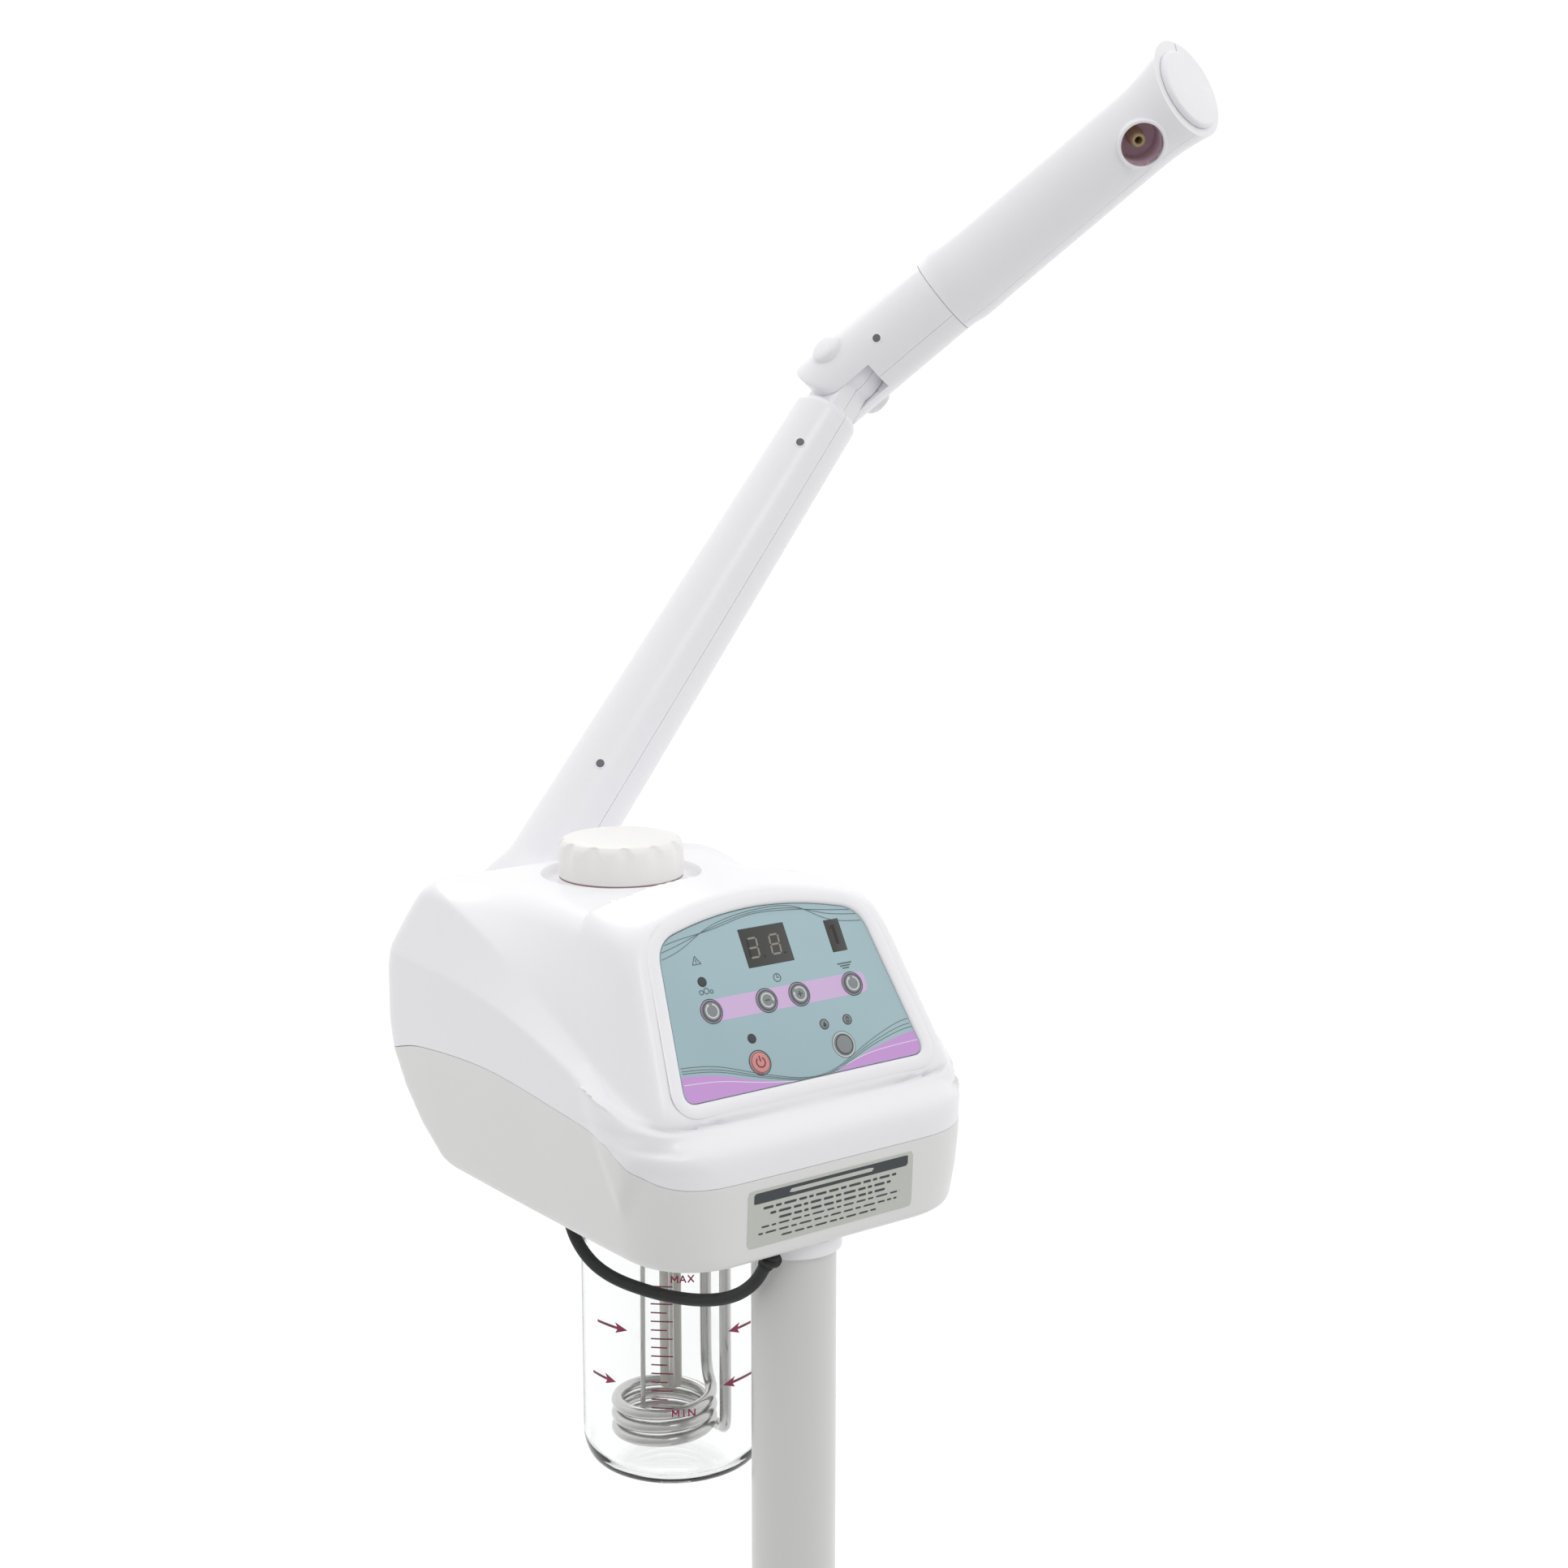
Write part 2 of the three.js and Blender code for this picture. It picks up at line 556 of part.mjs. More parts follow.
// ---------------------------------------------------------------- arm
function sideOf(body, side) {
  const half = side < 0 ? box([-60, -90, -90], [-GAP / 2, 90, 620]) : box([GAP / 2, -90, -90], [60, 90, 620]);
  return body.intersect(half);
}

function makeArmPivot(group) {
  const [y, z] = [ARM_Y, ARM_PIVOT_Z];
  const pivot = cut(joined([
    rod([0, 268, z], [0, y - 10, z], 12),
    rod([0, 282.5, z], [0, y - 28.5, z], 26),
    rod([0, y - 23.5, z], [0, y - 20, z], 18),
  ]), [bore([0, 260, z], [0, y, z], 8, 8, 14)]);
  add(group, 'arm_pivot', pivot, 'white');
}

function makeLowerArm(group) {
  const tubeTop = ARM_LENGTH - 30.5;
  const body = joined([
    rod([0, 0, 0], [0, 0, tubeTop], ARM_RADIUS, 23.4, 24),
    rod([0, -28.2, 0], [0, 29, 0], ARM_RADIUS + 0.3, undefined, 24),
    box([-11.7, -17, tubeTop - 14], [11.7, 17, ARM_LENGTH]),
    rod([-11.7, 0, ARM_LENGTH], [11.7, 0, ARM_LENGTH], 19),
  ]);
  const hollow = [
    bore([0, 0, 0], [0, 0, tubeTop - 14], ARM_RADIUS - 3, 20.4, 14),
    bore([0, -24.2, 0], [0, 25.5, 0], ARM_RADIUS - 3, undefined, 14),
    bore([0, -40, 0], [0, 0, 0], 12.5),
    bore([-40, 0, ARM_LENGTH], [40, 0, ARM_LENGTH], 4.3, 4.3, 14),
    bore([0, 0, tubeTop - 20], [0, 0, ARM_LENGTH - 8], 7.5, 7.5, 14),
  ];
  const flatFront = box([-60, -28.2, -60], [60, 60, 600]);
  const arm = cut(body, hollow).intersect(flatFront);
  add(group, 'lower_arm_left', sideOf(arm, -1), 'white');
  add(group, 'lower_arm_right', sideOf(arm, 1), 'white');
  const hose = [[0, -6, 12], [0, 0, 60], [0, 0, 200], [0, 0, tubeTop - 22]];
  add(group, 'arm_hose', along(hose, 7, 6, 8), 'silicone');
}

function makeUpperArm(group) {
  const knuckle = rod([-UPPER_RADIUS, 0, 0], [UPPER_RADIUS, 0, 0], UPPER_RADIUS, undefined, 24)
    .intersect(rod([0, 0, -40], [0, 0, 10], UPPER_RADIUS, undefined, 24));
  const body = joined([rod([0, 0, 0], [0, 0, SWIVEL_AT - 0.4], UPPER_RADIUS, undefined, 24), knuckle]);
  const hollow = [
    box([-12.1, -50, -50], [12.1, 50, 23]),
    bore([0, 0, 28], [0, 0, SWIVEL_AT + 1], UPPER_RADIUS - 3, undefined, 14),
    bore([0, 0, 20], [0, 0, 30], 8, 8, 14),
    bore([-30, 0, 0], [30, 0, 0], 4.3, 4.3, 14),
    bore([-40, 0, 0], [-24, 0, 0], 12.1),
    bore([24, 0, 0], [40, 0, 0], 12.1),
  ];
  const arm = cut(body, hollow);
  add(group, 'upper_arm_left', sideOf(arm, -1), 'white');
  add(group, 'upper_arm_right', sideOf(arm, 1), 'white');
  add(group, 'elbow_pin', rod([-23.9, 0, 0], [23.9, 0, 0], 4, 4, 14), 'steel');
  const cap = turned([[0, 24.3], [11.7, 24.3], [11.7, 31], [9, 33], [0, 33.8]], 28);
  add(group, 'elbow_cap_left', cap.rotate([0, -90, 0]), 'white');
  add(group, 'elbow_cap_right', cap.rotate([0, 90, 0]), 'white');
}

function makeNozzle(group) {
  const slant = deg(END_SLANT);
  const facing = [0, -Math.sin(slant), Math.cos(slant)];
  const out = (distance) => [0, facing[1] * distance, NOZZLE_END + facing[2] * distance];
  const body = turned([[0, GAP], [28.6, GAP], [28.6, 6], [30.6, 18], [NOZZLE_RADIUS, 40],
    [NOZZLE_RADIUS, 178], [31.5, 196], [35, 214], [38, 236], [38, 260], [0, 260]], 24)
    .subtract(rod(out(0), out(120), 120));
  const hollow = turned([[0, -1], [25.4, -1], [25.4, 8], [27.4, 20], [27, 40], [27, 178],
    [28.4, 196], [31, 212], [34, 236], [34, 260], [0, 260]], 24)
    .subtract(rod(out(-3.2), out(120), 120));
  const holes = [
    hollow,
    bore([0, -15, OUTLET_AT], [0, -60, OUTLET_AT], 17.4),
    bore(out(-12), out(12), 20.5),
  ];
  const shell = cut(body, holes);
  const turn = (manifold, angle) => manifold.rotate([0, 0, angle]);
  for (const [name, side] of [['nozzle_left', -1], ['nozzle_right', 1]]) {
    add(group, name, turn(sideOf(turn(shell, -SEAM_TURN), side), SEAM_TURN), 'white');
  }
  const ring = cut(rod([0, -24, OUTLET_AT], [0, -32.6, OUTLET_AT], 17), [
    bore([0, 0, OUTLET_AT], [0, -60, OUTLET_AT], 14.7),
  ]);
  add(group, 'outlet_ring', ring, 'white');
  const tip = cut(rod([0, 25.8, OUTLET_AT], [0, -18, OUTLET_AT], 6, 5, 14), [
    bore([0, 20, OUTLET_AT], [0, -30, OUTLET_AT], 2.6, 2.6, 12),
  ]);
  add(group, 'steam_tip', tip, 'beige');
  const cap = cut(joined([
    rod(out(GAP), out(4.6), 29, 27.5, 24),
    rod(out(-9), out(1), 20, undefined, 20),
  ]), [
    bore(out(-12), out(1), 17, undefined, 20),
    bore([0, 26, NOZZLE_END + 14], [0, 6, NOZZLE_END + 42], 9, 9, 14).translate([0, 3, 6]),
  ]);
  add(group, 'aroma_cap', cap, 'white');
}

// ---------------------------------------------------------------- assembly
function buildSteamer() {
  const steamer = new THREE.Group();
  makeStand(steamer);
  for (let i = 0; i < LEG_COUNT; i += 1) {
    makeCaster(steamer, i);
  }

  const column = cut(rod([0, 0, COLUMN_BOTTOM], [0, 0, HEAD_Z + 41.5], COLUMN_RADIUS, undefined, 24), [
    bore([0, 0, 0], [0, 0, 1200], COLUMN_RADIUS - 2, undefined, 24),
  ]);
  add(steamer, 'column_tube', column, 'column');

  const head = new THREE.Group();
  head.position.z = HEAD_Z;
  makeCovers(head);
  makePanel(head);
  makeFiller(head);
  makeBoiler(head);
  makeFittings(head);
  makeArmPivot(head);

  const lowerArm = new THREE.Group();
  lowerArm.position.set(0, ARM_Y, ARM_PIVOT_Z);
  lowerArm.rotation.y = deg(ARM_LEAN);
  makeLowerArm(lowerArm);

  const upperArm = new THREE.Group();
  upperArm.position.z = ARM_LENGTH;
  upperArm.rotation.x = deg(ELBOW_FOLD);
  makeUpperArm(upperArm);

  const nozzle = new THREE.Group();
  nozzle.position.z = SWIVEL_AT;
  nozzle.rotation.z = deg(NOZZLE_ROLL);
  makeNozzle(nozzle);

  upperArm.add(nozzle);
  lowerArm.add(upperArm);
  head.add(lowerArm);
  steamer.add(head);
  return steamer;
}

const group = buildSteamer();

export default group;
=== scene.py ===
# %% [markdown]
# # A facial steamer on a rolling stand
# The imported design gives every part's place and every joint. This lesson dresses it: each part
# that shows is built again as a smooth mesh in the same place, and each gets a finish made of
# shader nodes. The frame is loaded first, because every position below is read from it or is
# worked out from the same few dimensions.

# %% Frame and dimensions
import json
import math

import bmesh
import bpy
import numpy as np
from mathutils import Matrix, Vector


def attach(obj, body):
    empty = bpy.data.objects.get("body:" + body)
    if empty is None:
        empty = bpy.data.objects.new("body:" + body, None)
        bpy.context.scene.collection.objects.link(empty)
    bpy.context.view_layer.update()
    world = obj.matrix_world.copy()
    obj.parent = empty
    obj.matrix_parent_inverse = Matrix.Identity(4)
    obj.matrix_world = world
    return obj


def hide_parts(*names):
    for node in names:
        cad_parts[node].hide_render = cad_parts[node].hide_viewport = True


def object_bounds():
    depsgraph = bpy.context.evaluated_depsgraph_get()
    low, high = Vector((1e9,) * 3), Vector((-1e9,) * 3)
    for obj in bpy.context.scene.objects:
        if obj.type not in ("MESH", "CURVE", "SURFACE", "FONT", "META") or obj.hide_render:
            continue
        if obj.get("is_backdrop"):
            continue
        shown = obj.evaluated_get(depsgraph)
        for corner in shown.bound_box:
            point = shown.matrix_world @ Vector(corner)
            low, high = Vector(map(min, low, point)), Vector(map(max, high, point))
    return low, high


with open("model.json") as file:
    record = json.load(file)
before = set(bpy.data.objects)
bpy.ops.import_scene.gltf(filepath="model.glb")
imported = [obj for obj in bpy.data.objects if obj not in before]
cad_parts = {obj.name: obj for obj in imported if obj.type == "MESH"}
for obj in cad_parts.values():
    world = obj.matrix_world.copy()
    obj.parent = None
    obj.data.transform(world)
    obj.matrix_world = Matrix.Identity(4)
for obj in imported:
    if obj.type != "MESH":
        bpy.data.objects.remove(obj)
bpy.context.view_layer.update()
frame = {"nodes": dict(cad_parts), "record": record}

MM = 0.001
HEAD_Z = 850.0                 # underside of the head
JAR_Y = 125.0                  # jar's axis behind the column
CAP_Y = 180.0                  # filler cap's axis behind the column
PANEL_LEAN = math.radians(59.8)
PANEL_FOOT = Vector((0, -13.5, 93.5))
ARM_PIVOT = Vector((0, 313, 125))
ARM_LEAN = math.radians(38.5)
ARM_LENGTH = 466.0
ELBOW_FOLD = math.radians(35.5)
SWIVEL_AT = 86.0
NOZZLE_ROLL = math.radians(-13.6)
OUTLET_AT = 172.0
NOZZLE_END = 217.0
END_SLANT = math.radians(27)
SEAM_TURN = math.radians(40)
LEG_COUNT = 5
LEG_REACH = 262.0

HEAD = Matrix.Diagonal((MM, MM, MM, 1)) @ Matrix.Translation((0, 0, HEAD_Z))
STAND = Matrix.Diagonal((MM, MM, MM, 1))
PANEL = HEAD @ Matrix.Translation(PANEL_FOOT) @ Matrix.Rotation(PANEL_LEAN, 4, "X")
LOWER_ARM = HEAD @ Matrix.Translation(ARM_PIVOT) @ Matrix.Rotation(ARM_LEAN, 4, "Y")
UPPER_ARM = LOWER_ARM @ Matrix.Translation((0, 0, ARM_LENGTH)) @ Matrix.Rotation(ELBOW_FOLD, 4, "X")
NOZZLE = UPPER_ARM @ Matrix.Translation((0, 0, SWIVEL_AT)) @ Matrix.Rotation(NOZZLE_ROLL, 4, "Z")

# %% [markdown]
# ## Camera
# The camera comes first, because the cords are judged by what it sees. It stands in front and
# to the left of the steamer, a little above the control panel, and looks down by ten degrees.

# %% Camera
TURN = math.radians(37)
PITCH = math.radians(10.05)
camera_data = bpy.data.cameras.new("camera")
camera_data.lens = 54.04
camera_data.sensor_width = 36
camera_data.clip_start = 0.05
camera = bpy.data.objects.new("camera", camera_data)
camera.location = (-0.7918, -1.0413, 1.3451)
looking = Vector((math.sin(TURN) * math.cos(PITCH), math.cos(TURN) * math.cos(PITCH), -math.sin(PITCH)))
camera.rotation_mode = "QUATERNION"
camera.rotation_quaternion = looking.to_track_quat("-Z", "Y")
bpy.context.scene.collection.objects.link(camera)
bpy.context.scene.camera = camera
print("camera", [round(value, 3) for value in camera.location])

# %% [markdown]
# ## Studio
# A pale floor and a bright backdrop give the soft light of a studio. The world is
# white behind and above the steamer and darker in front of it, so faces turned to the viewer
# fall off gently, and two lamps shape the white plastic, which even light would flatten.


# %% Studio
def area_lamp(name, place, target, size, power):
    data = bpy.data.lights.new(name, "AREA")
    data.shape = "DISK"
    data.size = size
    data.energy = power
    lamp = bpy.data.objects.new(name, data)
    lamp.location = place
    lamp.rotation_mode = "QUATERNION"
    lamp.rotation_quaternion = (Vector(target) - Vector(place)).to_track_quat("-Z", "Y")
    bpy.context.scene.collection.objects.link(lamp)


def wire(tree, source, output, target, socket):
    tree.links.new(source.outputs[output], target.inputs[socket])


area_lamp("key_lamp", (-0.6, -2.2, 3.4), (0, 0.1, 1.0), 1.0, 9)
area_lamp("rear_lamp", (0.9, 2.2, 3.2), (0, 0.1, 1.2), 1.4, 7)
world = bpy.data.worlds.new("studio")
world.use_nodes = True
tree = world.node_tree
background = tree.nodes["Background"]
background.inputs["Strength"].default_value = 1.06
direction = tree.nodes.new("ShaderNodeTexCoord")
toward = tree.nodes.new("ShaderNodeVectorMath")
toward.operation = "DOT_PRODUCT"
toward.inputs[1].default_value = (0.55, 0.62, 0.56)
shade = tree.nodes.new("ShaderNodeMapRange")
shade.inputs["From Min"].default_value = -0.75
shade.inputs["From Max"].default_value = 0.25
shade.inputs["To Min"].default_value = 0.52
shade.inputs["To Max"].default_value = 1.0
wire(tree, direction, "Generated", toward, 0)
wire(tree, toward, "Value", shade, "Value")
wire(tree, shade, "Result", background, "Color")
bpy.context.scene.world = world
bpy.context.scene.view_settings.view_transform = "Standard"

# %% [markdown]
# ## Mesh helpers
# Most parts of a moulded machine are one of four forms: a lathe turning, a plate cut from an
# outline, a tube along a curve, or a skin through a grid of points. Each gets one short
# helper that returns an object already standing in its place on the machine.


# %% Mesh helpers
def smooth_mesh(name, verts, faces, place, angle=34):
    mesh = bpy.data.meshes.new(name)
    mesh.from_pydata([tuple(v) for v in verts], [], faces)
    mesh.transform(place)
    body = bmesh.new()
    body.from_mesh(mesh)
    bmesh.ops.remove_doubles(body, verts=body.verts, dist=1e-6)
    bmesh.ops.recalc_face_normals(body, faces=body.faces)
    body.to_mesh(mesh)
    body.free()
    mesh.shade_smooth()
    mesh.set_sharp_from_angle(angle=math.radians(angle))
    piece = bpy.data.objects.new(name, mesh)
    bpy.context.scene.collection.objects.link(piece)
    return piece


def grid_faces(rows, columns, closed=True, offset=0):
    faces = []
    for row in range(rows - 1):
        for column in range(columns if closed else columns - 1):
            after = (column + 1) % columns
            a, b = offset + row * columns + column, offset + row * columns + after
            faces.append((a, b, b + columns, a + columns))
    return faces


def rounded(profile, radius=0.6, steps=3):
    """Rounds the corners of a [radius, height] profile, so that its edges catch the light."""
    points = [profile[0]]
    for before, here, after in zip(profile, profile[1:], profile[2:]):
        a, p, b = Vector(before), Vector(here), Vector(after)
        reach = min(radius, (a - p).length * 0.45, (b - p).length * 0.45)
        start, end = p + (a - p).normalized() * reach, p + (b - p).normalized() * reach
        for k in range(steps + 1):
            t = k / steps
            points.append(tuple(start * (1 - t) ** 2 + p * 2 * t * (1 - t) + end * t * t))
    points.append(profile[-1])
    return points


def turning(name, profile, place, sides=96, radius=0.6):
    """A lathe turning about Z. A profile that starts and ends on the axis is closed by points."""
    points = rounded(profile, radius)
    verts = [
        (max(r, 0.0) * math.cos(2 * math.pi * k / sides), max(r, 0.0) * math.sin(2 * math.pi * k / sides), z)
        for r, z in points
        for k in range(sides)
    ]
    faces = grid_faces(len(points), sides)
    if points[0] == points[-1]:
        verts = verts[: (len(points) - 1) * sides]
        faces = [tuple(v % len(verts) for v in face) for face in faces]
    return smooth_mesh(name, verts, faces, place)


def rounded_outline(corners, steps=8):
    """A closed outline whose corners, [x, y, radius], are rounded by a parabola."""
    points = []
    for i, (x, y, radius) in enumerate(corners):
        here = Vector((x, y))
        ends = []
        for other in (corners[i - 1], corners[(i + 1) % len(corners)]):
            way = Vector(other[:2]) - here
            ends.append(here + way * min(radius / way.length, 0.48))
        for k in range(steps + 1):
            t = k / steps
            points.append(ends[0] * (1 - t) ** 2 + here * 2 * t * (1 - t) + ends[1] * t * t)
    return points


def rounded_box(left, low, right, high, radius, steps):
    """The outline of a box with four equal rounded corners."""
    corners = ((left, low), (right, low), (right, high), (left, high))
    return rounded_outline([[x, y, radius] for x, y in corners], steps)


def pointing(way, point):
    """A place at a point whose Z axis lies along the way."""
    return Matrix.Translation(point) @ way.to_track_quat("Z", "Y").to_matrix().to_4x4()


def plate(name, outline, low, high, place, bevel=0.0, steps=2):
    """A flat plate from an outline. The bevel rounds the edge of its upper face."""
    count = len(outline)
    levels = [(low, 0.0)]
    for k in range(steps + 1 if bevel else 1):
        angle = math.pi / 2 * k / steps
        levels.append((high - bevel * (1 - math.sin(angle)), bevel * (1 - math.cos(angle))))
    verts = []
    for z, inset in levels:
        for i, point in enumerate(outline):
            here, before, after = Vector(point[:2]), Vector(outline[i - 1][:2]), Vector(
                outline[(i + 1) % count][:2]
            )
            side = (after - before).normalized()
            inward = Vector((-side.y, side.x))
            verts.append((*(here + inward * inset), z))
    faces = grid_faces(len(levels), count)
    faces.append(tuple(reversed(range(count))))
    faces.append(tuple(range(len(verts) - count, len(verts))))
    return smooth_mesh(name, verts, faces, place)


def disc_outline(x, y, radius, count):
    angles = [2 * math.pi * k / count for k in range(count)]
    return [Vector((x + radius * math.cos(a), y + radius * math.sin(a))) for a in angles]


def arc_band(name, x, y, inner, outer, start, end, low, high, place, count=36):
    """A flat ring, or a part of one, such as a printed circle round a button."""
    whole = abs(end - start) > 359
    angles = [math.radians(start + (end - start) * k / count) for k in range(count if whole else count + 1)]
    section = [(outer, low), (outer, high), (inner, high), (inner, low)]
    verts = [(x + r * math.cos(a), y + r * math.sin(a), z) for a in angles for r, z in section]
    rows = len(angles)
    faces = []
    for row in range(rows if whole else rows - 1):
        for k in range(4):
            a, b = row * 4 + k, row * 4 + (k + 1) % 4
            c, d = ((row + 1) % rows) * 4 + (k + 1) % 4, ((row + 1) % rows) * 4 + k
            faces.append((a, b, c, d))
    if not whole:
        faces += [(3, 2, 1, 0), tuple(range(len(verts) - 4, len(verts)))]
    return smooth_mesh(name, verts, faces, place)


def bar(name, start, end, width, low, high, place):
    """A straight printed stroke with square ends."""
    a, b = Vector(start), Vector(end)
    side = (b - a).normalized() * width / 2
    across = Vector((-side.y, side.x))
    return plate(name, [a - across, b - across, b + across, a + across], low, high, place)


def spline_points(points, count):
    """Evenly spaced points on a smooth curve through the given ones."""
    p = [Vector(q) for q in points]
    p = [2 * p[0] - p[1], *p, 2 * p[-1] - p[-2]]
    fine = []
    for i in range(1, len(p) - 2):
        for k in range(16):
            t = k / 16
            fine.append(0.5 * (2 * p[i] + (p[i + 1] - p[i - 1]) * t
                               + (2 * p[i - 1] - 5 * p[i] + 4 * p[i + 1] - p[i + 2]) * t * t
                               + (3 * p[i] - p[i - 1] - 3 * p[i + 1] + p[i + 2]) * t ** 3))
    fine.append(p[-2])
    lengths = np.concatenate([[0], np.cumsum([(b - a).length for a, b in zip(fine, fine[1:])])])
    wanted = np.linspace(0, lengths[-1], count)
    columns = [np.interp(wanted, lengths, [q[axis] for q in fine]) for axis in range(3)]
    return [Vector(q) for q in zip(*columns)]


def tube(name, points, radius, place, count=80, sides=24):
    """A round tube along a smooth curve. The section is carried along without twisting."""
    path = spline_points(points, count)
    verts = []
    normal = None
    for i, point in enumerate(path):
        way = (path[min(i + 1, count - 1)] - path[max(i - 1, 0)]).normalized()
        if normal is None:
            normal = way.orthogonal().normalized()
        normal = (normal - way * normal.dot(way)).normalized()
        other = way.cross(normal)
        for k in range(sides):
            angle = 2 * math.pi * k / sides
            verts.append(point + (normal * math.cos(angle) + other * math.sin(angle)) * radius)
    faces = grid_faces(count, sides)
    faces += [tuple(reversed(range(sides))), tuple(range(len(verts) - sides, len(verts)))]
    return smooth_mesh(name, verts, faces, place)


def cut_with(piece, tools):
    """Cuts holes with a boolean, applies it, and keeps the smooth shading."""
    for tool in tools:
        modifier = piece.modifiers.new("cut", "BOOLEAN")
        modifier.operation = "DIFFERENCE"
        modifier.solver = "EXACT"
        modifier.object = tool
        bpy.context.view_layer.update()
        evaluated = piece.evaluated_get(bpy.context.evaluated_depsgraph_get())
        mesh = bpy.data.meshes.new_from_object(evaluated)
        piece.modifiers.clear()
        piece.data = mesh
        bpy.data.objects.remove(tool)
    piece.data.shade_smooth()
    piece.data.set_sharp_from_angle(angle=math.radians(34))
    return piece


def give(piece, body, slot, finish, *nodes):
    """Puts the finish on a piece, seats it on its body and hides the parts that it replaces."""
    piece.data.materials.clear()
    piece.data.materials.append(finish)
    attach(piece, body)
    if nodes:
        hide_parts(*nodes)
    return piece


slot_of = {part["node"]: part["material_slot"] for part in frame["record"]["subparts"]}
body_of = {node: body for body, nodes in frame["record"]["behaviour"]["bodies"].items() for node in nodes}


def stands_for(piece, node, finish):
    """Seats a piece on the body of the node that it replaces, and hides that node."""
    return give(piece, body_of[node], slot_of[node], finish, node)


def beside(piece, node, finish):
    """Seats an extra piece on the same body as a node."""
    return give(piece, body_of[node], slot_of[node], finish)


print("mesh helpers ready")

# %% [markdown]
# ## Shared effects
# Moulded plastic, paint, rubber and steel all show a little of the same three things: a fine
# grain from the tool, a faint unevenness in gloss, and edges that have been rubbed. Each is a
# node group with named sockets, made once and placed in every material with its own numbers.


# %% Shared node groups
def group(name, inputs, outputs):
    tree = bpy.data.node_groups.new(name, "ShaderNodeTree")
    for label, kind, value in inputs:
        socket = tree.interface.new_socket(label, in_out="INPUT", socket_type=kind)
        socket.default_value = value
    for label, kind in outputs:
        tree.interface.new_socket(label, in_out="OUTPUT", socket_type=kind)
    return tree, tree.nodes.new("NodeGroupInput"), tree.nodes.new("NodeGroupOutput")


def object_noise(tree, scale_socket, detail):
    """Noise in object space, so that it stays put when the part moves."""
    place = tree.nodes.new("ShaderNodeTexCoord")
    noise = tree.nodes.new("ShaderNodeTexNoise")
    noise.inputs["Detail"].default_value = detail
    wire(tree, place, "Object", noise, "Vector")
    tree.links.new(scale_socket, noise.inputs["Scale"])
    return noise


def make_grain_group():
    """A fine moulded grain, as a height for a Bump node."""
    tree, start, end = group(
        "moulded_grain",
        [
            ("Scale", "NodeSocketFloat", 900.0), ("Wave Scale", "NodeSocketFloat", 14.0),
            ("Wave Share", "NodeSocketFloat", 0.6),
        ],
        [("Height", "NodeSocketFloat")],
    )
    fine = object_noise(tree, start.outputs["Scale"], 3.0)
    wave = object_noise(tree, start.outputs["Wave Scale"], 1.0)
    mix = tree.nodes.new("ShaderNodeMix")
    wire(tree, start, "Wave Share", mix, "Factor")
    wire(tree, fine, "Fac", mix, "A")
    wire(tree, wave, "Fac", mix, "B")
    wire(tree, mix, "Result", end, "Height")
    return tree


def make_gloss_group():
    """Roughness that wanders between two values in soft patches."""
    tree, start, end = group(
        "uneven_gloss",
        [
            ("Low", "NodeSocketFloat", 0.3), ("High", "NodeSocketFloat", 0.4),
            ("Scale", "NodeSocketFloat", 22.0),
        ],
        [("Roughness", "NodeSocketFloat")],
    )
    noise = object_noise(tree, start.outputs["Scale"], 4.0)
    spread = tree.nodes.new("ShaderNodeMapRange")
    spread.inputs["From Min"].default_value = 0.3
    spread.inputs["From Max"].default_value = 0.7
    wire(tree, noise, "Fac", spread, "Value")
    wire(tree, start, "Low", spread, "To Min")
    wire(tree, start, "High", spread, "To Max")
    wire(tree, spread, "Result", end, "Roughness")
    return tree


def make_tone_group():
    """A base colour that drifts a little, and is rubbed lighter or darker along the edges."""
    tree, start, end = group(
        "worn_tone",
        [
            ("Base", "NodeSocketColor", (1, 1, 1, 1)), ("Drift", "NodeSocketColor", (1, 1, 1, 1)),
            ("Edge", "NodeSocketColor", (1, 1, 1, 1)), ("Edge Share", "NodeSocketFloat", 0.3),
            ("Scale", "NodeSocketFloat", 9.0),
        ],
        [("Color", "NodeSocketColor")],
    )
    noise = object_noise(tree, start.outputs["Scale"], 3.0)
    drift = tree.nodes.new("ShaderNodeMix")
    drift.data_type = "RGBA"
    wire(tree, noise, "Fac", drift, "Factor")
    wire(tree, start, "Base", drift, "A")
    wire(tree, start, "Drift", drift, "B")
    shape = tree.nodes.new("ShaderNodeNewGeometry")
    ridge = tree.nodes.new("ShaderNodeMapRange")
    ridge.inputs["From Min"].default_value = 0.52
    ridge.inputs["From Max"].default_value = 0.62
    wire(tree, shape, "Pointiness", ridge, "Value")
    share = tree.nodes.new("ShaderNodeMath")
    share.operation = "MULTIPLY"
    wire(tree, ridge, "Result", share, 0)
    wire(tree, start, "Edge Share", share, 1)
    worn = tree.nodes.new("ShaderNodeMix")
    worn.data_type = "RGBA"
    wire(tree, share, "Value", worn, "Factor")
    wire(tree, drift, "Result", worn, "A")
    wire(tree, start, "Edge", worn, "B")
    wire(tree, worn, "Result", end, "Color")
    return tree


GRAIN = make_grain_group()
GLOSS = make_gloss_group()
TONE = make_tone_group()
print("node groups:", [tree.name for tree in bpy.data.node_groups])

# %% [markdown]
# ## Finishes
# One function makes every opaque finish from the three groups. Its numbers say what the
# material is: how light, how glossy, how coarse its grain. What is the same all over, such as
# the coat or the metal, is set on the shader's own sockets.


# %% Finishes
def put_group(tree, source, values):
    node = tree.nodes.new("ShaderNodeGroup")
    node.node_tree = source
    for label, value in values.items():
        node.inputs[label].default_value = value
    return node


def tinted(colour, share):
    return (*(min(1.0, channel * share) for channel in colour), 1.0)


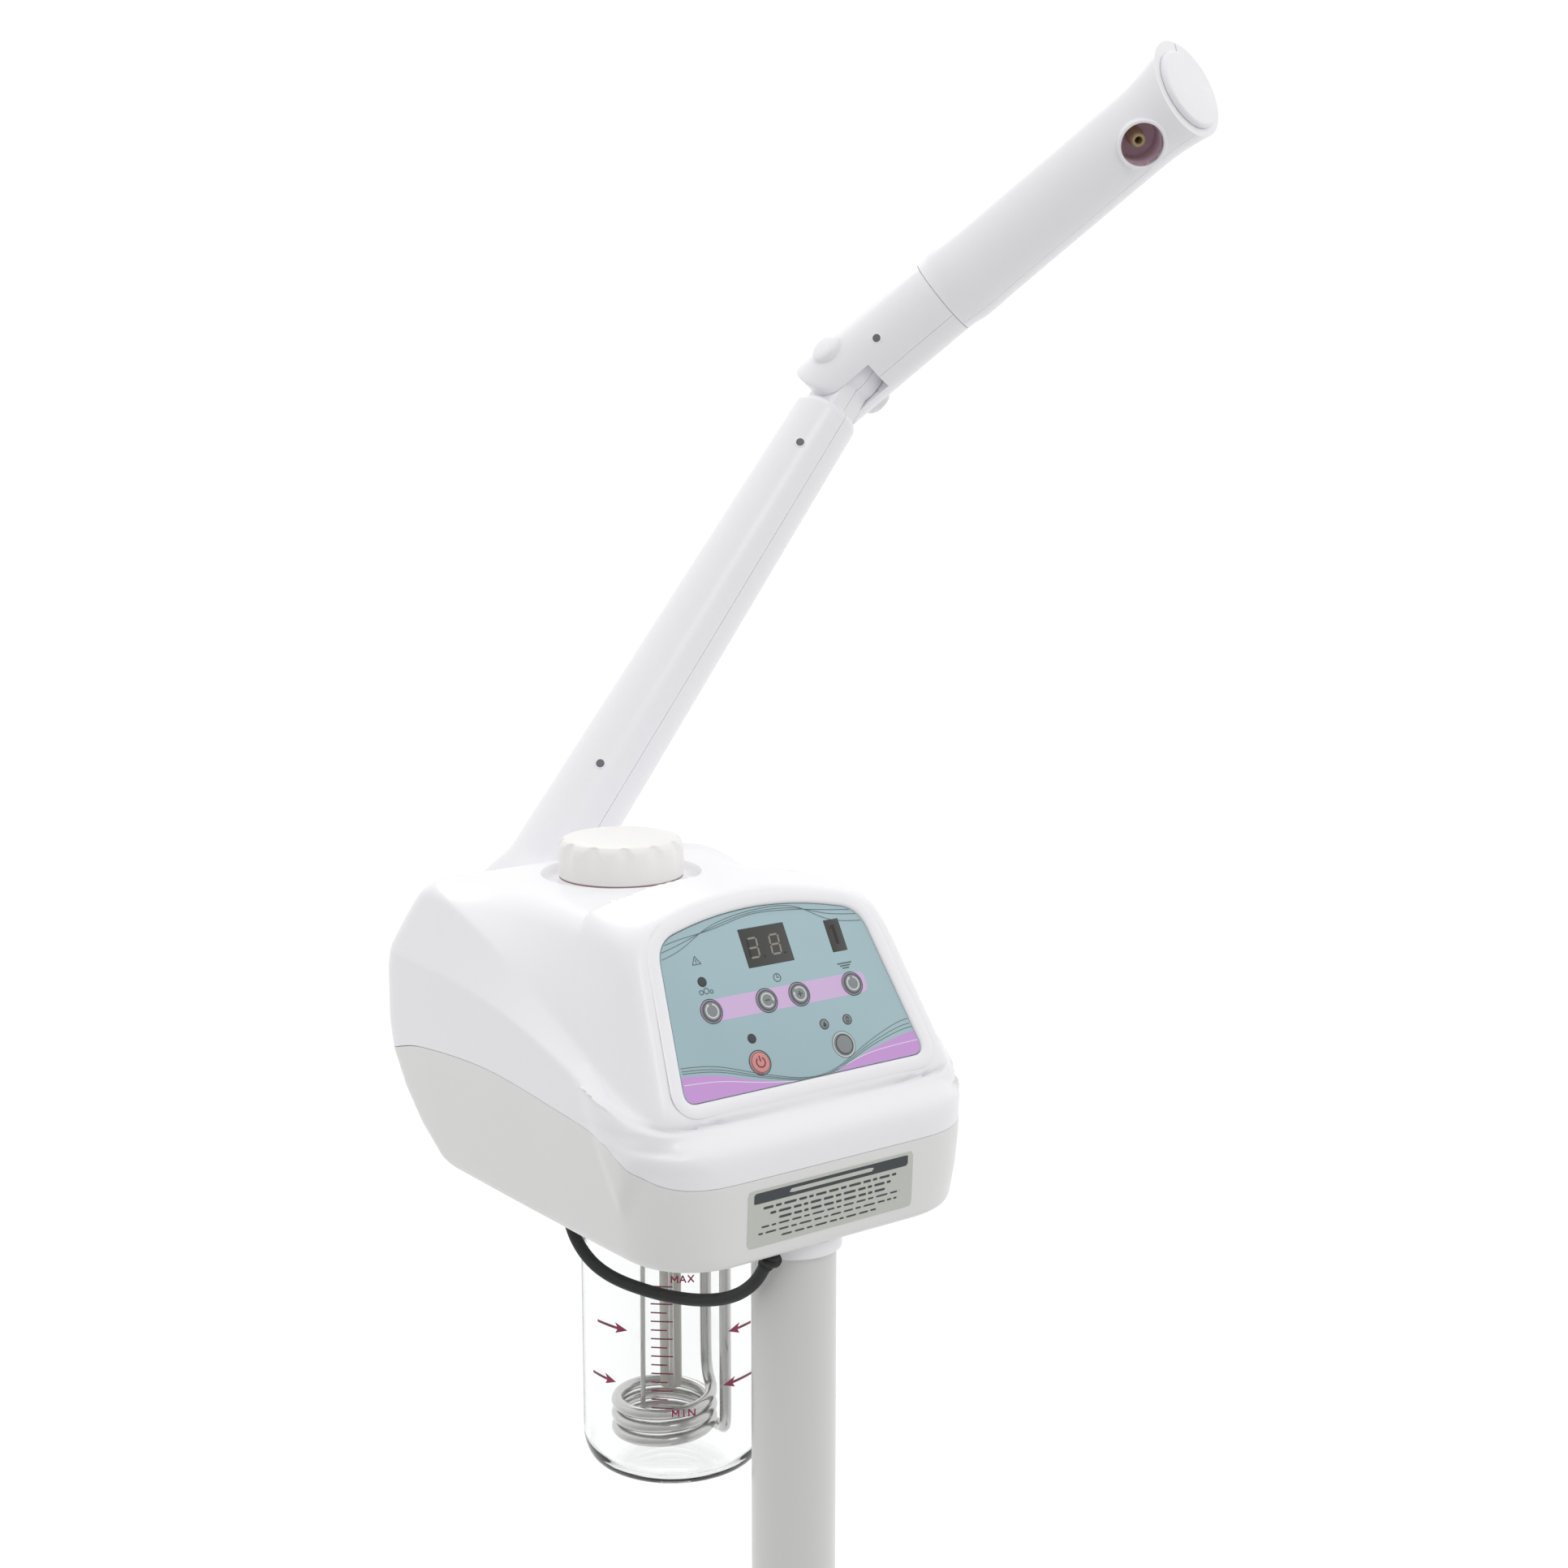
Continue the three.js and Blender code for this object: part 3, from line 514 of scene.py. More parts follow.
def finish(
    name, colour, gloss, grain, bump=0.04, metallic=0.0, coat=0.0, drift=0.985, edge=1.06,
    subsurface=0.0,
):
    material = bpy.data.materials.new(name)
    material.use_nodes = True
    tree = material.node_tree
    shader = tree.nodes["Principled BSDF"]
    shader.inputs["Metallic"].default_value = metallic
    shader.inputs["Coat Weight"].default_value = coat
    shader.inputs["Coat Roughness"].default_value = 0.12
    shader.inputs["Subsurface Weight"].default_value = subsurface
    shader.inputs["Subsurface Radius"].default_value = (0.004, 0.003, 0.002)
    tone = put_group(
        tree, TONE,
        {"Base": tinted(colour, 1.0), "Drift": tinted(colour, drift), "Edge": tinted(colour, edge)},
    )
    wire(tree, tone, "Color", shader, "Base Color")
    shine = put_group(tree, GLOSS, {"Low": gloss[0], "High": gloss[1]})
    wire(tree, shine, "Roughness", shader, "Roughness")
    relief = put_group(tree, GRAIN, {"Scale": grain})
    bumps = tree.nodes.new("ShaderNodeBump")
    bumps.inputs["Strength"].default_value = bump
    bumps.inputs["Distance"].default_value = 0.0004
    wire(tree, relief, "Height", bumps, "Height")
    wire(tree, bumps, "Normal", shader, "Normal")
    return material


def clear_finish(name, colour, roughness, ior):
    """Glass. The fine ripple of a blown jar comes from the shared grain at a large scale."""
    material = bpy.data.materials.new(name)
    material.use_nodes = True
    tree = material.node_tree
    shader = tree.nodes["Principled BSDF"]
    shader.inputs["Base Color"].default_value = (*colour, 1)
    shader.inputs["Roughness"].default_value = roughness
    shader.inputs["Transmission Weight"].default_value = 1.0
    shader.inputs["IOR"].default_value = ior
    relief = put_group(tree, GRAIN, {"Scale": 30.0, "Wave Scale": 12.0, "Wave Share": 0.9})
    bumps = tree.nodes.new("ShaderNodeBump")
    bumps.inputs["Strength"].default_value = 0.05
    bumps.inputs["Distance"].default_value = 0.001
    wire(tree, relief, "Height", bumps, "Height")
    wire(tree, bumps, "Normal", shader, "Normal")
    return material


def printing_ink(name, colour, gloss=(0.34, 0.42)):
    return finish(name, colour, gloss, 2200.0, bump=0.03)


def key_plastic(name, colour, bump=0.06):
    return finish(name, colour, (0.42, 0.52), 1500.0, bump=bump)


WHITE = finish(
    "moulded_white", (0.90, 0.895, 0.925), (0.30, 0.38), 1500.0, bump=0.03, coat=0.15, subsurface=0.04,
)
LOWER_WHITE = finish(
    "moulded_off_white", (0.80, 0.795, 0.79), (0.34, 0.42), 1500.0, bump=0.03, coat=0.1, subsurface=0.04,
)
WARM_WHITE = finish(
    "moulded_warm_white", (0.88, 0.875, 0.85), (0.38, 0.46), 1200.0, bump=0.05, subsurface=0.06,
)
BASE_WHITE = finish("moulded_base_white", (0.82, 0.82, 0.82), (0.28, 0.36), 1300.0, bump=0.05, coat=0.2)
COLUMN_PAINT = finish(
    "column_powder_coat", (0.68, 0.685, 0.67), (0.30, 0.38), 700.0, bump=0.08, coat=0.25,
)
BLACK_PLASTIC = finish(
    "moulded_black", (0.022, 0.022, 0.025), (0.42, 0.55), 1100.0, bump=0.18, drift=0.8, edge=1.9,
)
BLACK_RUBBER = finish(
    "lead_jacket", (0.016, 0.017, 0.018), (0.5, 0.62), 1400.0, bump=0.12, drift=0.8, edge=1.6,
)
TYRE = finish("wheel_tread", (0.035, 0.035, 0.038), (0.6, 0.75), 900.0, bump=0.25, drift=0.75, edge=1.7)
STEEL = finish(
    "bright_stainless", (0.62, 0.61, 0.60), (0.14, 0.24), 300.0, bump=0.05, metallic=1.0, drift=0.9,
)
SILICONE = finish("milky_silicone", (0.74, 0.71, 0.64), (0.38, 0.5), 500.0, bump=0.06, subsurface=0.2)
TEAL_FILM = printing_ink("panel_film", (0.372, 0.520, 0.560))
PURPLE_INK = printing_ink("purple_ink", (0.590, 0.320, 0.685))
LILAC_INK = printing_ink("lilac_ink", (0.655, 0.475, 0.735))
PALE_INK = printing_ink("pale_ink", (0.80, 0.74, 0.86))
DARK_INK = printing_ink("dark_ink", (0.045, 0.055, 0.060), (0.4, 0.5))
LINE_INK = printing_ink("line_ink", (0.10, 0.14, 0.155), (0.4, 0.5))
KEY_GREY = key_plastic("key_grey", (0.245, 0.262, 0.270))
KEY_RIM = key_plastic("key_rim", (0.075, 0.085, 0.090))
KEY_PALE = key_plastic("key_pale_ring", (0.62, 0.64, 0.62), 0.05)
KEY_RED = key_plastic("key_red", (0.66, 0.27, 0.265))
KEY_RED_DARK = key_plastic("key_red_symbol", (0.17, 0.045, 0.045), 0.05)
WINDOW = finish("display_window", (0.030, 0.031, 0.028), (0.10, 0.18), 2000.0, bump=0.01, coat=0.4, drift=0.9)
DIGIT = finish("display_segment", (0.27, 0.26, 0.215), (0.4, 0.5), 2000.0, bump=0.02)
DIGIT_DIM = finish("display_segment_dim", (0.012, 0.013, 0.012), (0.4, 0.5), 2000.0, bump=0.02)
LABEL_GREY = printing_ink("label_film", (0.56, 0.585, 0.535), (0.36, 0.44))
BOARD_GREEN = finish("board_laminate", (0.03, 0.14, 0.06), (0.35, 0.5), 800.0, bump=0.1)
BEIGE = finish("tip_beige", (0.55, 0.44, 0.235), (0.4, 0.5), 900.0, bump=0.08)
# Painted shade: the mauve tone of the hollow inside the steam outlet.
BORE_SHADE = finish("shaded_bore", (0.80, 0.62, 0.71), (0.5, 0.6), 900.0, bump=0.05)
SHADED = finish("shaded_recess", (0.16, 0.145, 0.17), (0.5, 0.6), 900.0, bump=0.05)
MAROON = finish("jar_print", (0.33, 0.025, 0.085), (0.4, 0.5), 1800.0, bump=0.02)
GLASS = clear_finish("clear_jar_glass", (0.985, 0.995, 0.995), 0.015, 1.46)
LAMP_GLASS = clear_finish("lamp_glass", (0.96, 0.97, 1.0), 0.03, 1.46)
# Painted shadow: a dark brown line for the seam between the filler neck and its cap.
SHADOW_LINE = finish("seam_shadow_line", (0.30, 0.20, 0.17), (0.5, 0.6), 900.0, bump=0.05)
print("finishes:", len(bpy.data.materials))

# %% [markdown]
# ## The jumper lead
# A short black lead hangs under the head, out of the gland behind the front wall and into the
# one beside the jar. A cord has its own length, so its line is a given list of points, and the
# tube is only wrapped round them. It goes back into the housing at its far end.

# %% Jumper lead
LEAD_DIAMETER = 0.0075
lead_route = [
    (-0.0360, -0.0200, -0.0090), (-0.0366, -0.0164, -0.0149), (-0.0374, -0.0122, -0.0204),
    (-0.0384, -0.0070, -0.0255), (-0.0396, -0.0012, -0.0300), (-0.0412, 0.0055, -0.0340),
    (-0.0432, 0.0130, -0.0374), (-0.0458, 0.0215, -0.0402), (-0.0488, 0.0305, -0.0423),
    (-0.0522, 0.0398, -0.0436), (-0.0560, 0.0492, -0.0442), (-0.0600, 0.0588, -0.0441),
    (-0.0642, 0.0684, -0.0433), (-0.0684, 0.0780, -0.0419), (-0.0724, 0.0874, -0.0394),
    (-0.0759, 0.0962, -0.0354), (-0.0785, 0.1040, -0.0297), (-0.0803, 0.1103, -0.0226),
    (-0.0814, 0.1146, -0.0146), (-0.0820, 0.1168, -0.0060),
]
lead_points = [Vector((x, y, z + HEAD_Z * MM)) for x, y, z in lead_route]
lead = tube("lead", lead_points, LEAD_DIAMETER / 2, Matrix.Identity(4), count=90, sides=28)
give(lead, "head", "black_rubber", BLACK_RUBBER, "jumper_lead")


def gland(name, at, way):
    """A tapered, ribbed strain relief between the housing and the lead."""
    way = Vector(way).normalized()
    at = Vector(at)
    back = (-1 - at.z) / way.z
    foot = at + way * back
    length = (at - foot).length - 0.3
    profile = [(0, -2), (5.0, -2), (5.0, 0.6), (7.2, 0.9), (7.2, 2.4), (5.6, 3.2)]
    ribs = 4
    for k in range(ribs):
        start = 3.2 + (length - 3.6) * k / ribs
        stop = 3.2 + (length - 3.6) * (k + 0.6) / ribs
        radius = 5.2 - 0.8 * k / ribs
        profile += [
            (radius, start), (radius, stop), (radius - 0.5, stop + 0.1),
            (radius - 0.5, 3.2 + (length - 3.6) * (k + 1) / ribs - 0.1),
        ]
    profile += [(4.2, length - 0.3), (4.2, length), (0, length)]
    piece = turning(name + "_relief", profile, HEAD @ pointing(way, foot), sides=40, radius=0.2)
    return give(piece, "head", "black_rubber", BLACK_RUBBER, name)


gland("front_gland", (-36, -20, -9), (-0.086, 0.519, -0.85))
gland("rear_gland", (-82, 116.8, -6), (0.07, -0.255, -0.964))

# %% [markdown]
# ## The shape of the head
# The head has soft walls, a sloped panel, and two feature lines that run back along each side.
# A subdivision cage would round those lines away, so the form is written as a solid in
# mathematics: a wall function for the sides, one for the front and flat limits for the rest,
# joined by a smooth maximum that sets each edge's own radius. A skin is then found on it.

# %% Head form
side_lines_y = np.array([-38.0, 2, 66, 134, 200, 270, 290])
low_line = np.polyfit(side_lines_y, [75.5, 88, 108, 124, 129.5, 131, 131], 4)
high_line = np.polyfit([-25, 1, 34, 100, 171, 245, 282], [80, 91, 102.5, 133, 161, 179.5, 183], 4)
top_slope = np.polyfit([-20.0, 20, 60, 100, 130, 163, 200, 245], [77, 77, 74, 65, 55, 41, 22, 7], 4)
HOOD_TOP = 182.3
SIDE_X = 120.5                 # half-width at the low feature line
RIDGE_X = 108.5                # half-width at the high feature line
seam_y = [-60.0, -36, -15, 7, 30, 67, 146, 228, 276, 330]
seam_z = [50.0, 51, 57, 69, 74, 78, 83, 77, 66, 62]
seam_curve = spline_points([(0, y, z) for y, z in zip(seam_y, seam_z)], 120)


def seam_height(y):
    return np.interp(y, [p.y for p in seam_curve], [p.z for p in seam_curve])


def soft_step(t, width):
    return (t + np.sqrt(t * t + width * width)) / 2


def smooth_max(a, b, k):
    h = np.maximum(k - np.abs(a - b), 0) / k
    return np.maximum(a, b) + h * h * k / 4


def side_wall(x, y, z):
    """How far outside the side wall a point is: a flat wall, the facet between the lines, the shoulder."""
    low, high = np.polyval(low_line, y), np.polyval(high_line, y)
    high = np.maximum(high, low + 2.5)
    slope = np.radians(np.clip(np.polyval(top_slope, y), 4, 80))
    facet = -(SIDE_X - RIDGE_X) / (high - low)
    shoulder = -1 / np.tan(slope)
    half = np.interp(z, [-5, 0, 8, 25, 45, 67, 95], [107, 109.5, 113.5, 117.3, 119.4, 120.5, 120.5])
    half = half - np.interp(y, [-40, 0, 60, 140, 220, 285], [2.6, 1.2, 0.3, 0, 0.5, 2.2])
    half = half + facet * soft_step(z - low, 0.9) + (shoulder - facet) * soft_step(z - high, 1.1)
    lean = np.where(z > high, shoulder, np.where(z > low, facet, 0))
    return (np.abs(x) - half) / np.sqrt(1 + lean * lean)


def front_wall(x, y, z):
    """The front lip, the ledge under the panel and the panel's own slope."""
    ledge, panel = 1 / math.tan(math.radians(31)), 1 / math.tan(PANEL_LEAN)
    wall = np.interp(z, [-5, 0, 4, 45, 67], [-31.5, -33, -35, -37.4, -38])
    wall = wall + 0.0022 * np.maximum(np.abs(x) - 60, 0) ** 2
    wall = wall + ledge * soft_step(z - 71, 7) + (panel - ledge) * soft_step(z - 81.5, 3.5)
    lean = np.where(z > 81.5, panel, np.where(z > 71, ledge, 0))
    return (wall - y) / np.sqrt(1 + lean * lean)


def outline_distance(u, v):
    """Roughly how far a point on the panel's plane is outside the film, and outside the pod."""
    side = (np.abs(u) - (86 - 0.1436 * v)) * 0.99
    top = (v - (106 - 0.0023 * u * u)) * 0.96
    film = smooth_max(smooth_max(side, top, 16.0), -v, 10.0)
    pod = smooth_max(smooth_max(side - 17.5, top - 10.5, 22.0), -v - 10.5, 14.0)
    return film, pod


def pod_form(x, y, z):
    """The raised pod round the panel, hollowed where the film lies."""
    v = (y - PANEL_FOOT.y) * math.cos(PANEL_LEAN) + (z - PANEL_FOOT.z) * math.sin(PANEL_LEAN)
    w = -(y - PANEL_FOOT.y) * math.sin(PANEL_LEAN) + (z - PANEL_FOOT.z) * math.cos(PANEL_LEAN)
    film, pod = outline_distance(x, v)
    rim = np.clip((film - 1.2) / 2.6, 0, 1)
    height = -9 + 10.0 * rim * rim * (3 - 2 * rim)
    body = smooth_max(smooth_max(pod + 0.7 * w, w - height, 6.0), -w - 40, 4.0)
    return smooth_max(body, side_wall(x, y, z), 5.0)


def head_form(x, y, z):
    rear = y - np.interp(z, [-5, 0, 4, 25, 45, 67, 85, 120, 135, 150, 165, 175, 184],
                         [214, 219, 226, 247, 264, 278, 282.4, 282.4, 278, 269, 259, 251, 243])
    corner = np.interp(z, [60, 92, 150], [40, 24, 20])
    shape = smooth_max(side_wall(x, y, z), front_wall(x, y, z), corner)
    shape = smooth_max(shape, rear * 0.9, 18.0)
    crown = HOOD_TOP - 0.00012 * x * x - 0.00008 * (y - 150) ** 2
    shape = smooth_max(shape, z - crown, 11.0)
    shape = smooth_max(shape, -z, 7.0)
    return -smooth_max(-shape, -pod_form(x, y, z), 9.0)


def cast(origin, ways, reach=420.0, steps=16):
    """Where rays from inside the head first leave it, by marching and then halving."""
    low, high = np.zeros(len(ways)), np.full(len(ways), reach)
    marks = np.linspace(0.15 * reach, reach, 60)
    found = np.zeros(len(ways), bool)
    for near, far in zip(marks, marks[1:]):
        outside = head_form(*(origin + ways * far).T) > 0
        fresh = outside & ~found
        low, high = np.where(fresh, near, low), np.where(fresh, far, high)
        found |= outside
    for _ in range(steps):
        middle = (low + high) / 2
        points = origin + ways * middle[:, None]
        inside = head_form(*points.T) < 0
        low, high = np.where(inside, middle, low), np.where(inside, high, middle)
    return origin + ways * low[:, None]


print("head: half-width", SIDE_X, "mm, top at", HOOD_TOP, "mm")

# %% [markdown]
# ## Lower cover
# The lower cover is the bucket below the seam. Its skin is a grid: level rings that start at
# the flat underside and are squeezed so that the last one lies exactly on the seam. The edge
# turns inwards there, which draws the fine shadow line that a real seam has.

# %% Lower cover
AROUND = 340
SEAM_GAP = 0.35
turns = np.linspace(0, 2 * np.pi, AROUND, endpoint=False)


def level_ring(share, drop=0.0, inset=0.0):
    """A ring of the lower cover: share is 0 at the underside and 1 at the seam."""
    centre = np.array([0.0, 122.0])
    z = np.full(AROUND, 30.0)
    for _ in range(9):
        origin = np.stack([np.zeros(AROUND), np.full(AROUND, centre[1]), z], 1)
        ways = np.stack([np.cos(turns), np.sin(turns), np.zeros(AROUND)], 1)
        points = cast(origin, ways, 300.0)
        z = np.maximum(share * seam_height(points[:, 1]) - drop, 0.05)
    points[:, 2] = z
    points[:, 0] -= np.cos(turns) * inset
    points[:, 1] -= np.sin(turns) * inset
    return points


shares = np.concatenate([np.linspace(0, 0.12, 8), np.linspace(0.15, 1, 26)])
rings = [level_ring(share, SEAM_GAP if share == 1 else 0) for share in shares]
rings.append(level_ring(1, 0.0, 0.5))
rings.append(level_ring(1, 0.0, 2.6))
rings.append(level_ring(0.97, 0.0, 2.8))
skin = np.concatenate(rings)
verts = [tuple(p) for p in skin]
faces = grid_faces(len(rings), AROUND)


def flat_floor(rim, holes, z):
    """Fills the flat underside between the rim and round holes, given as (x, y, radius)."""
    body = bmesh.new()
    edges = []
    loops = [[(p[0], p[1]) for p in rim]]
    loops += [[(q.x, q.y) for q in disc_outline(x, y, r, 48)] for x, y, r in holes]
    for loop in loops:
        made = [body.verts.new((x, y, z)) for x, y in loop]
        edges += [body.edges.new((a, b)) for a, b in zip(made, made[1:] + made[:1])]
    bmesh.ops.triangle_fill(body, use_beauty=True, edges=edges)
    points = [tuple(v.co) for v in body.verts]
    index = {v: i for i, v in enumerate(body.verts)}
    triangles = [tuple(index[v] for v in face.verts) for face in body.faces]
    body.free()
    return points, triangles


floor_points, floor_faces = flat_floor(rings[0], [(0, JAR_Y, 50), (0, 0, 29), (-70, 197, 12)], rings[0][0][2])
faces += [tuple(i + len(verts) for i in face) for face in floor_faces]
verts += floor_points
lower_cover = smooth_mesh("lower_shell", verts, faces, HEAD, angle=40)
give(lower_cover, "head", "head_grey_white", LOWER_WHITE, "lower_cover")
jar_collar = turning("jar_collar", [(48.6, 2), (62, 2), (62, -17.5), (60.5, -20), (48.6, -20), (48.6, 2)],
                     HEAD @ Matrix.Translation((0, JAR_Y, 0)), sides=128, radius=1.2)
give(jar_collar, "head", "head_grey_white", LOWER_WHITE)
for number, (x, y) in enumerate(((-92, 190), (92, 190), (-86, 18), (86, 18))):
    foot = turning(f"cover_foot_{number + 1}", [(0, 1), (7, 1), (6.4, -3.6), (5, -4.4), (0, -4.4)],
                   HEAD @ Matrix.Translation((x, y, 0)), sides=40, radius=0.6)
    give(foot, "head", "head_grey_white", LOWER_WHITE)
print("lower cover:", len(verts), "points")

# %% [markdown]
# ## Upper cover
# The hood starts on the seam and closes at the filler's dish. Rays leave a point low inside
# the head, so the rings near the top are circles about the cap, which is just what the round
# dish needs. The last rings are listed: they step down into the dish.

# %% Upper cover
DISH_RADIUS = 50.0
DISH_FLOOR = 176.2
RISE = 168
heart = np.array([0.0, CAP_Y, 20.0])


def hood_ring(angles):
    flat = np.cos(angles)
    ways = np.stack([np.cos(turns) * flat, np.sin(turns) * flat, np.sin(angles)], 1)
    return cast(heart, ways)


low_angle, high_angle = np.full(AROUND, -0.2), np.full(AROUND, 1.1)
for _ in range(26):
    middle = (low_angle + high_angle) / 2
    points = hood_ring(middle)
    under = points[:, 2] < seam_height(points[:, 1]) + SEAM_GAP
    low_angle, high_angle = np.where(under, middle, low_angle), np.where(under, high_angle, middle)
seam_angle = high_angle
dish_angle = math.atan2(HOOD_TOP - heart[2], DISH_RADIUS + 0.8)

hood = []
for drop, inset in ((2.4, 2.8), (0.35, 2.6), (0.0, 0.6)):
    ring = hood_ring(seam_angle)
    ring[:, 0] -= np.cos(turns) * inset
    ring[:, 1] -= np.sin(turns) * inset
    ring[:, 2] -= drop
    hood.append(ring)
for k in range(RISE + 1):
    hood.append(hood_ring(seam_angle + (dish_angle - seam_angle) * (k / RISE)))
for radius, z in (
    (50.0, 181.0), (49.2, 179.6), (48.4, 178.0), (47.6, 176.9), (46.4, DISH_FLOOR), (44.0, DISH_FLOOR),
    (38.0, DISH_FLOOR), (32.0, DISH_FLOOR),
):
    hood.append(np.stack([radius * np.cos(turns), CAP_Y + radius * np.sin(turns), np.full(AROUND, z)], 1))
hood_skin = np.concatenate(hood)
upper_cover = smooth_mesh(
    "upper_shell", [tuple(p) for p in hood_skin], grid_faces(len(hood), AROUND), HEAD, angle=50,
)
give(upper_cover, "head", "head_white", WHITE, "upper_cover")
print("upper cover:", len(hood_skin), "points")

# %% [markdown]
# ## The panel's raised frame
# The pod round the control panel belongs to the hood's own form. Its inner rim must follow the
# film exactly, so it is a band of rings round the film's outline. The band rises, rounds over
# and dips under the pod's surface, so no line shows where the two meet.

# %% Panel frame
LABEL_TOP = 1.5
label_corners = [
    [-86, 0, 8], [86, 0, 8], [72.5, 94, 14], [36, 103, 30], [0, 106, 30], [-36, 103, 30],
    [-72.5, 94, 14],
]
label_outline = rounded_outline(label_corners, 10)


def even_outline(outline, count):
    loop = [*outline, outline[0]]
    lengths = np.concatenate([[0], np.cumsum([(b - a).length for a, b in zip(loop, loop[1:])])])
    wanted = np.linspace(0, lengths[-1], count, endpoint=False)
    return np.stack([np.interp(wanted, lengths, [p[axis] for p in loop]) for axis in (0, 1)], 1)


def grown(points, distance):
    side = np.roll(points, -1, 0) - np.roll(points, 1, 0)
    side = side / np.linalg.norm(side, axis=1)[:, None]
    return points + np.stack([side[:, 1], -side[:, 0]], 1) * distance


FRAME_COUNT = 320
frame_rim = [
    (0.3, -0.4), (0.3, 1.5), (0.55, 2.0), (0.95, 2.4), (1.5, 2.68), (2.2, 2.86), (3.4, 2.96),
    (4.8, 2.94), (6.2, 2.8), (7.6, 2.5), (8.6, 2.1),
]
even = even_outline(label_outline, FRAME_COUNT)
frame_verts = [(u, v, rise) for reach, rise in frame_rim for u, v in grown(even, reach)]
panel_frame = smooth_mesh(
    "panel_frame", frame_verts, grid_faces(len(frame_rim), FRAME_COUNT), PANEL, angle=60,
)
give(panel_frame, "head", "head_white", WHITE)
print("panel frame: rises", max(rise for _, rise in frame_rim), "mm")

# %% [markdown]
# ## Printed film
# The film is a printed sheet. Its pattern is drawn as very thin plates, one per ink, laid on
# each other. A wave is a band between two curves, cut off by the film's own outline, so that
# it ends exactly at the edge. Words are left out: small signs say what each key does.

# %% Printed film
film = plate("film", [Vector(p) for p in grown(even, -0.2)], 0.3, LABEL_TOP, PANEL, bevel=0.25)
give(film, "head", "panel_film", TEAL_FILM, "control_label")
INK = 0.05                     # thickness of one printed layer
FILM_FOOT = LABEL_TOP - 0.1    # where printed plates start, just inside the film
RING_TOP = LABEL_TOP + 2 * INK
SIGN_TOP = LABEL_TOP + 3 * INK


def film_print(piece, ink):
    """Ink on the film."""
    return give(piece, "head", "panel_film", ink)


def ring_print(name, x, y, inner, outer, top, place, count, ink):
    """A printed circle on the film."""
    return film_print(arc_band(name, x, y, inner, outer, 0, 360, FILM_FOOT, top, place, count), ink)


def stroke_print(name, start, end, width):
    """A short printed line on the film."""
    return film_print(bar(name, start, end, width, FILM_FOOT, SIGN_TOP, PANEL), LINE_INK)


def outline_span(u):
    """The film's lowest and highest v at a given u."""
    inner = grown(even, -0.35)
    loop = np.concatenate([inner, inner[:1]])
    crossings = []
    for a, b in zip(loop, loop[1:]):
        if (a[0] - u) * (b[0] - u) <= 0 and a[0] != b[0]:
            crossings.append(a[1] + (b[1] - a[1]) * (u - a[0]) / (b[0] - a[0]))
    return (min(crossings), max(crossings)) if crossings else (0, 0)


COLUMNS = np.linspace(-85.4, 85.4, 150)
SPANS = [outline_span(u) for u in COLUMNS]


def printed_band(name, lower, upper, layer, ink):
    """A printed stripe between two curves v(u), kept inside the film."""
    rows = []
    for u, (floor, ceiling) in zip(COLUMNS, SPANS):
        low, high = max(lower(u), floor), min(upper(u), ceiling)
        if high - low > 0.02:
            rows.append((u, low, high))
    z = LABEL_TOP + INK * layer
    verts = [
        (u, v, h)
        for u, low, high in rows
        for v, h in ((low, FILM_FOOT), (high, FILM_FOOT), (high, z), (low, z))
    ]
    faces = [
        (4 * i + k, 4 * i + (k + 1) % 4, 4 * i + 4 + (k + 1) % 4, 4 * i + 4 + k)
        for i in range(len(rows) - 1)
        for k in range(4)
    ]
    faces += [(3, 2, 1, 0), tuple(range(len(verts) - 4, len(verts)))]
    return film_print(smooth_mesh(name, verts, faces, PANEL), ink)


def curve_through(points):
    fine = spline_points([(u, v, 0) for u, v in points], 90)
    us, vs = [p.x for p in fine], [p.y for p in fine]
    return lambda u: float(np.interp(u, us, vs))


swoosh = curve_through(
    [(-90, 16.8), (-62, 13.2), (-34, 5.4), (-4, -0.6), (20, 0.6), (48, 8.4), (76, 13.6), (90, 14.4)]
)
printed_band("swoosh", lambda u: -5, swoosh, 1, PURPLE_INK)
pale_wave = curve_through([(-90, 12.0), (-60, 9.6), (-30, 3.6), (0, -0.3), (22, 2.4), (50, 7.6), (90, 9.0)])
printed_band("pale_wave", lambda u: pale_wave(u) - 0.45, pale_wave, 2, PALE_INK)
for number, (left, middle, right) in enumerate(((20.2, 1.2, 19.6), (18.8, 0.6, 17.4), (22.0, 1.8, 22.4))):
    wave = curve_through(
        [
            (-90, left), (-60, left - 3.6), (-30, (left + middle) / 2 - 3.4), (-2, middle - 0.6),
            (20, middle + 0.8), (50, (middle + right) / 2 + 2), (74, right - 1), (90, right),
        ]
    )
    printed_band(f"low_line_{number + 1}", lambda u: wave(u) - 0.32, wave, 3, LINE_INK)
for number, (left, top, right) in enumerate(((80.5, 103.6, 84.5), (84.0, 102.4, 88.5), (87.0, 101.4, 91.0))):
    wave = curve_through(
        [
            (-90, left), (-62, left + 6), (-34, top - 5), (-4, top), (26, top - 1.5), (52, right + 5),
            (90, right),
        ]
    )
    printed_band(f"high_line_{number + 1}", lambda u: wave(u) - 0.32, wave, 3, LINE_INK)
lilac_outline = rounded_box(-58, 43, 61, 56, 5, 8)
film_print(plate("lilac_band", lilac_outline, FILM_FOOT, LABEL_TOP + INK, PANEL), LILAC_INK)
print("film: bands and waves printed")

# %% [markdown]
# ## Keys
# A key is a low round pad that stands out of the film. On it lie a darker rim, a pale open
# ring and a sign. Its prints ride with the key, so they sink with it when it is pressed.

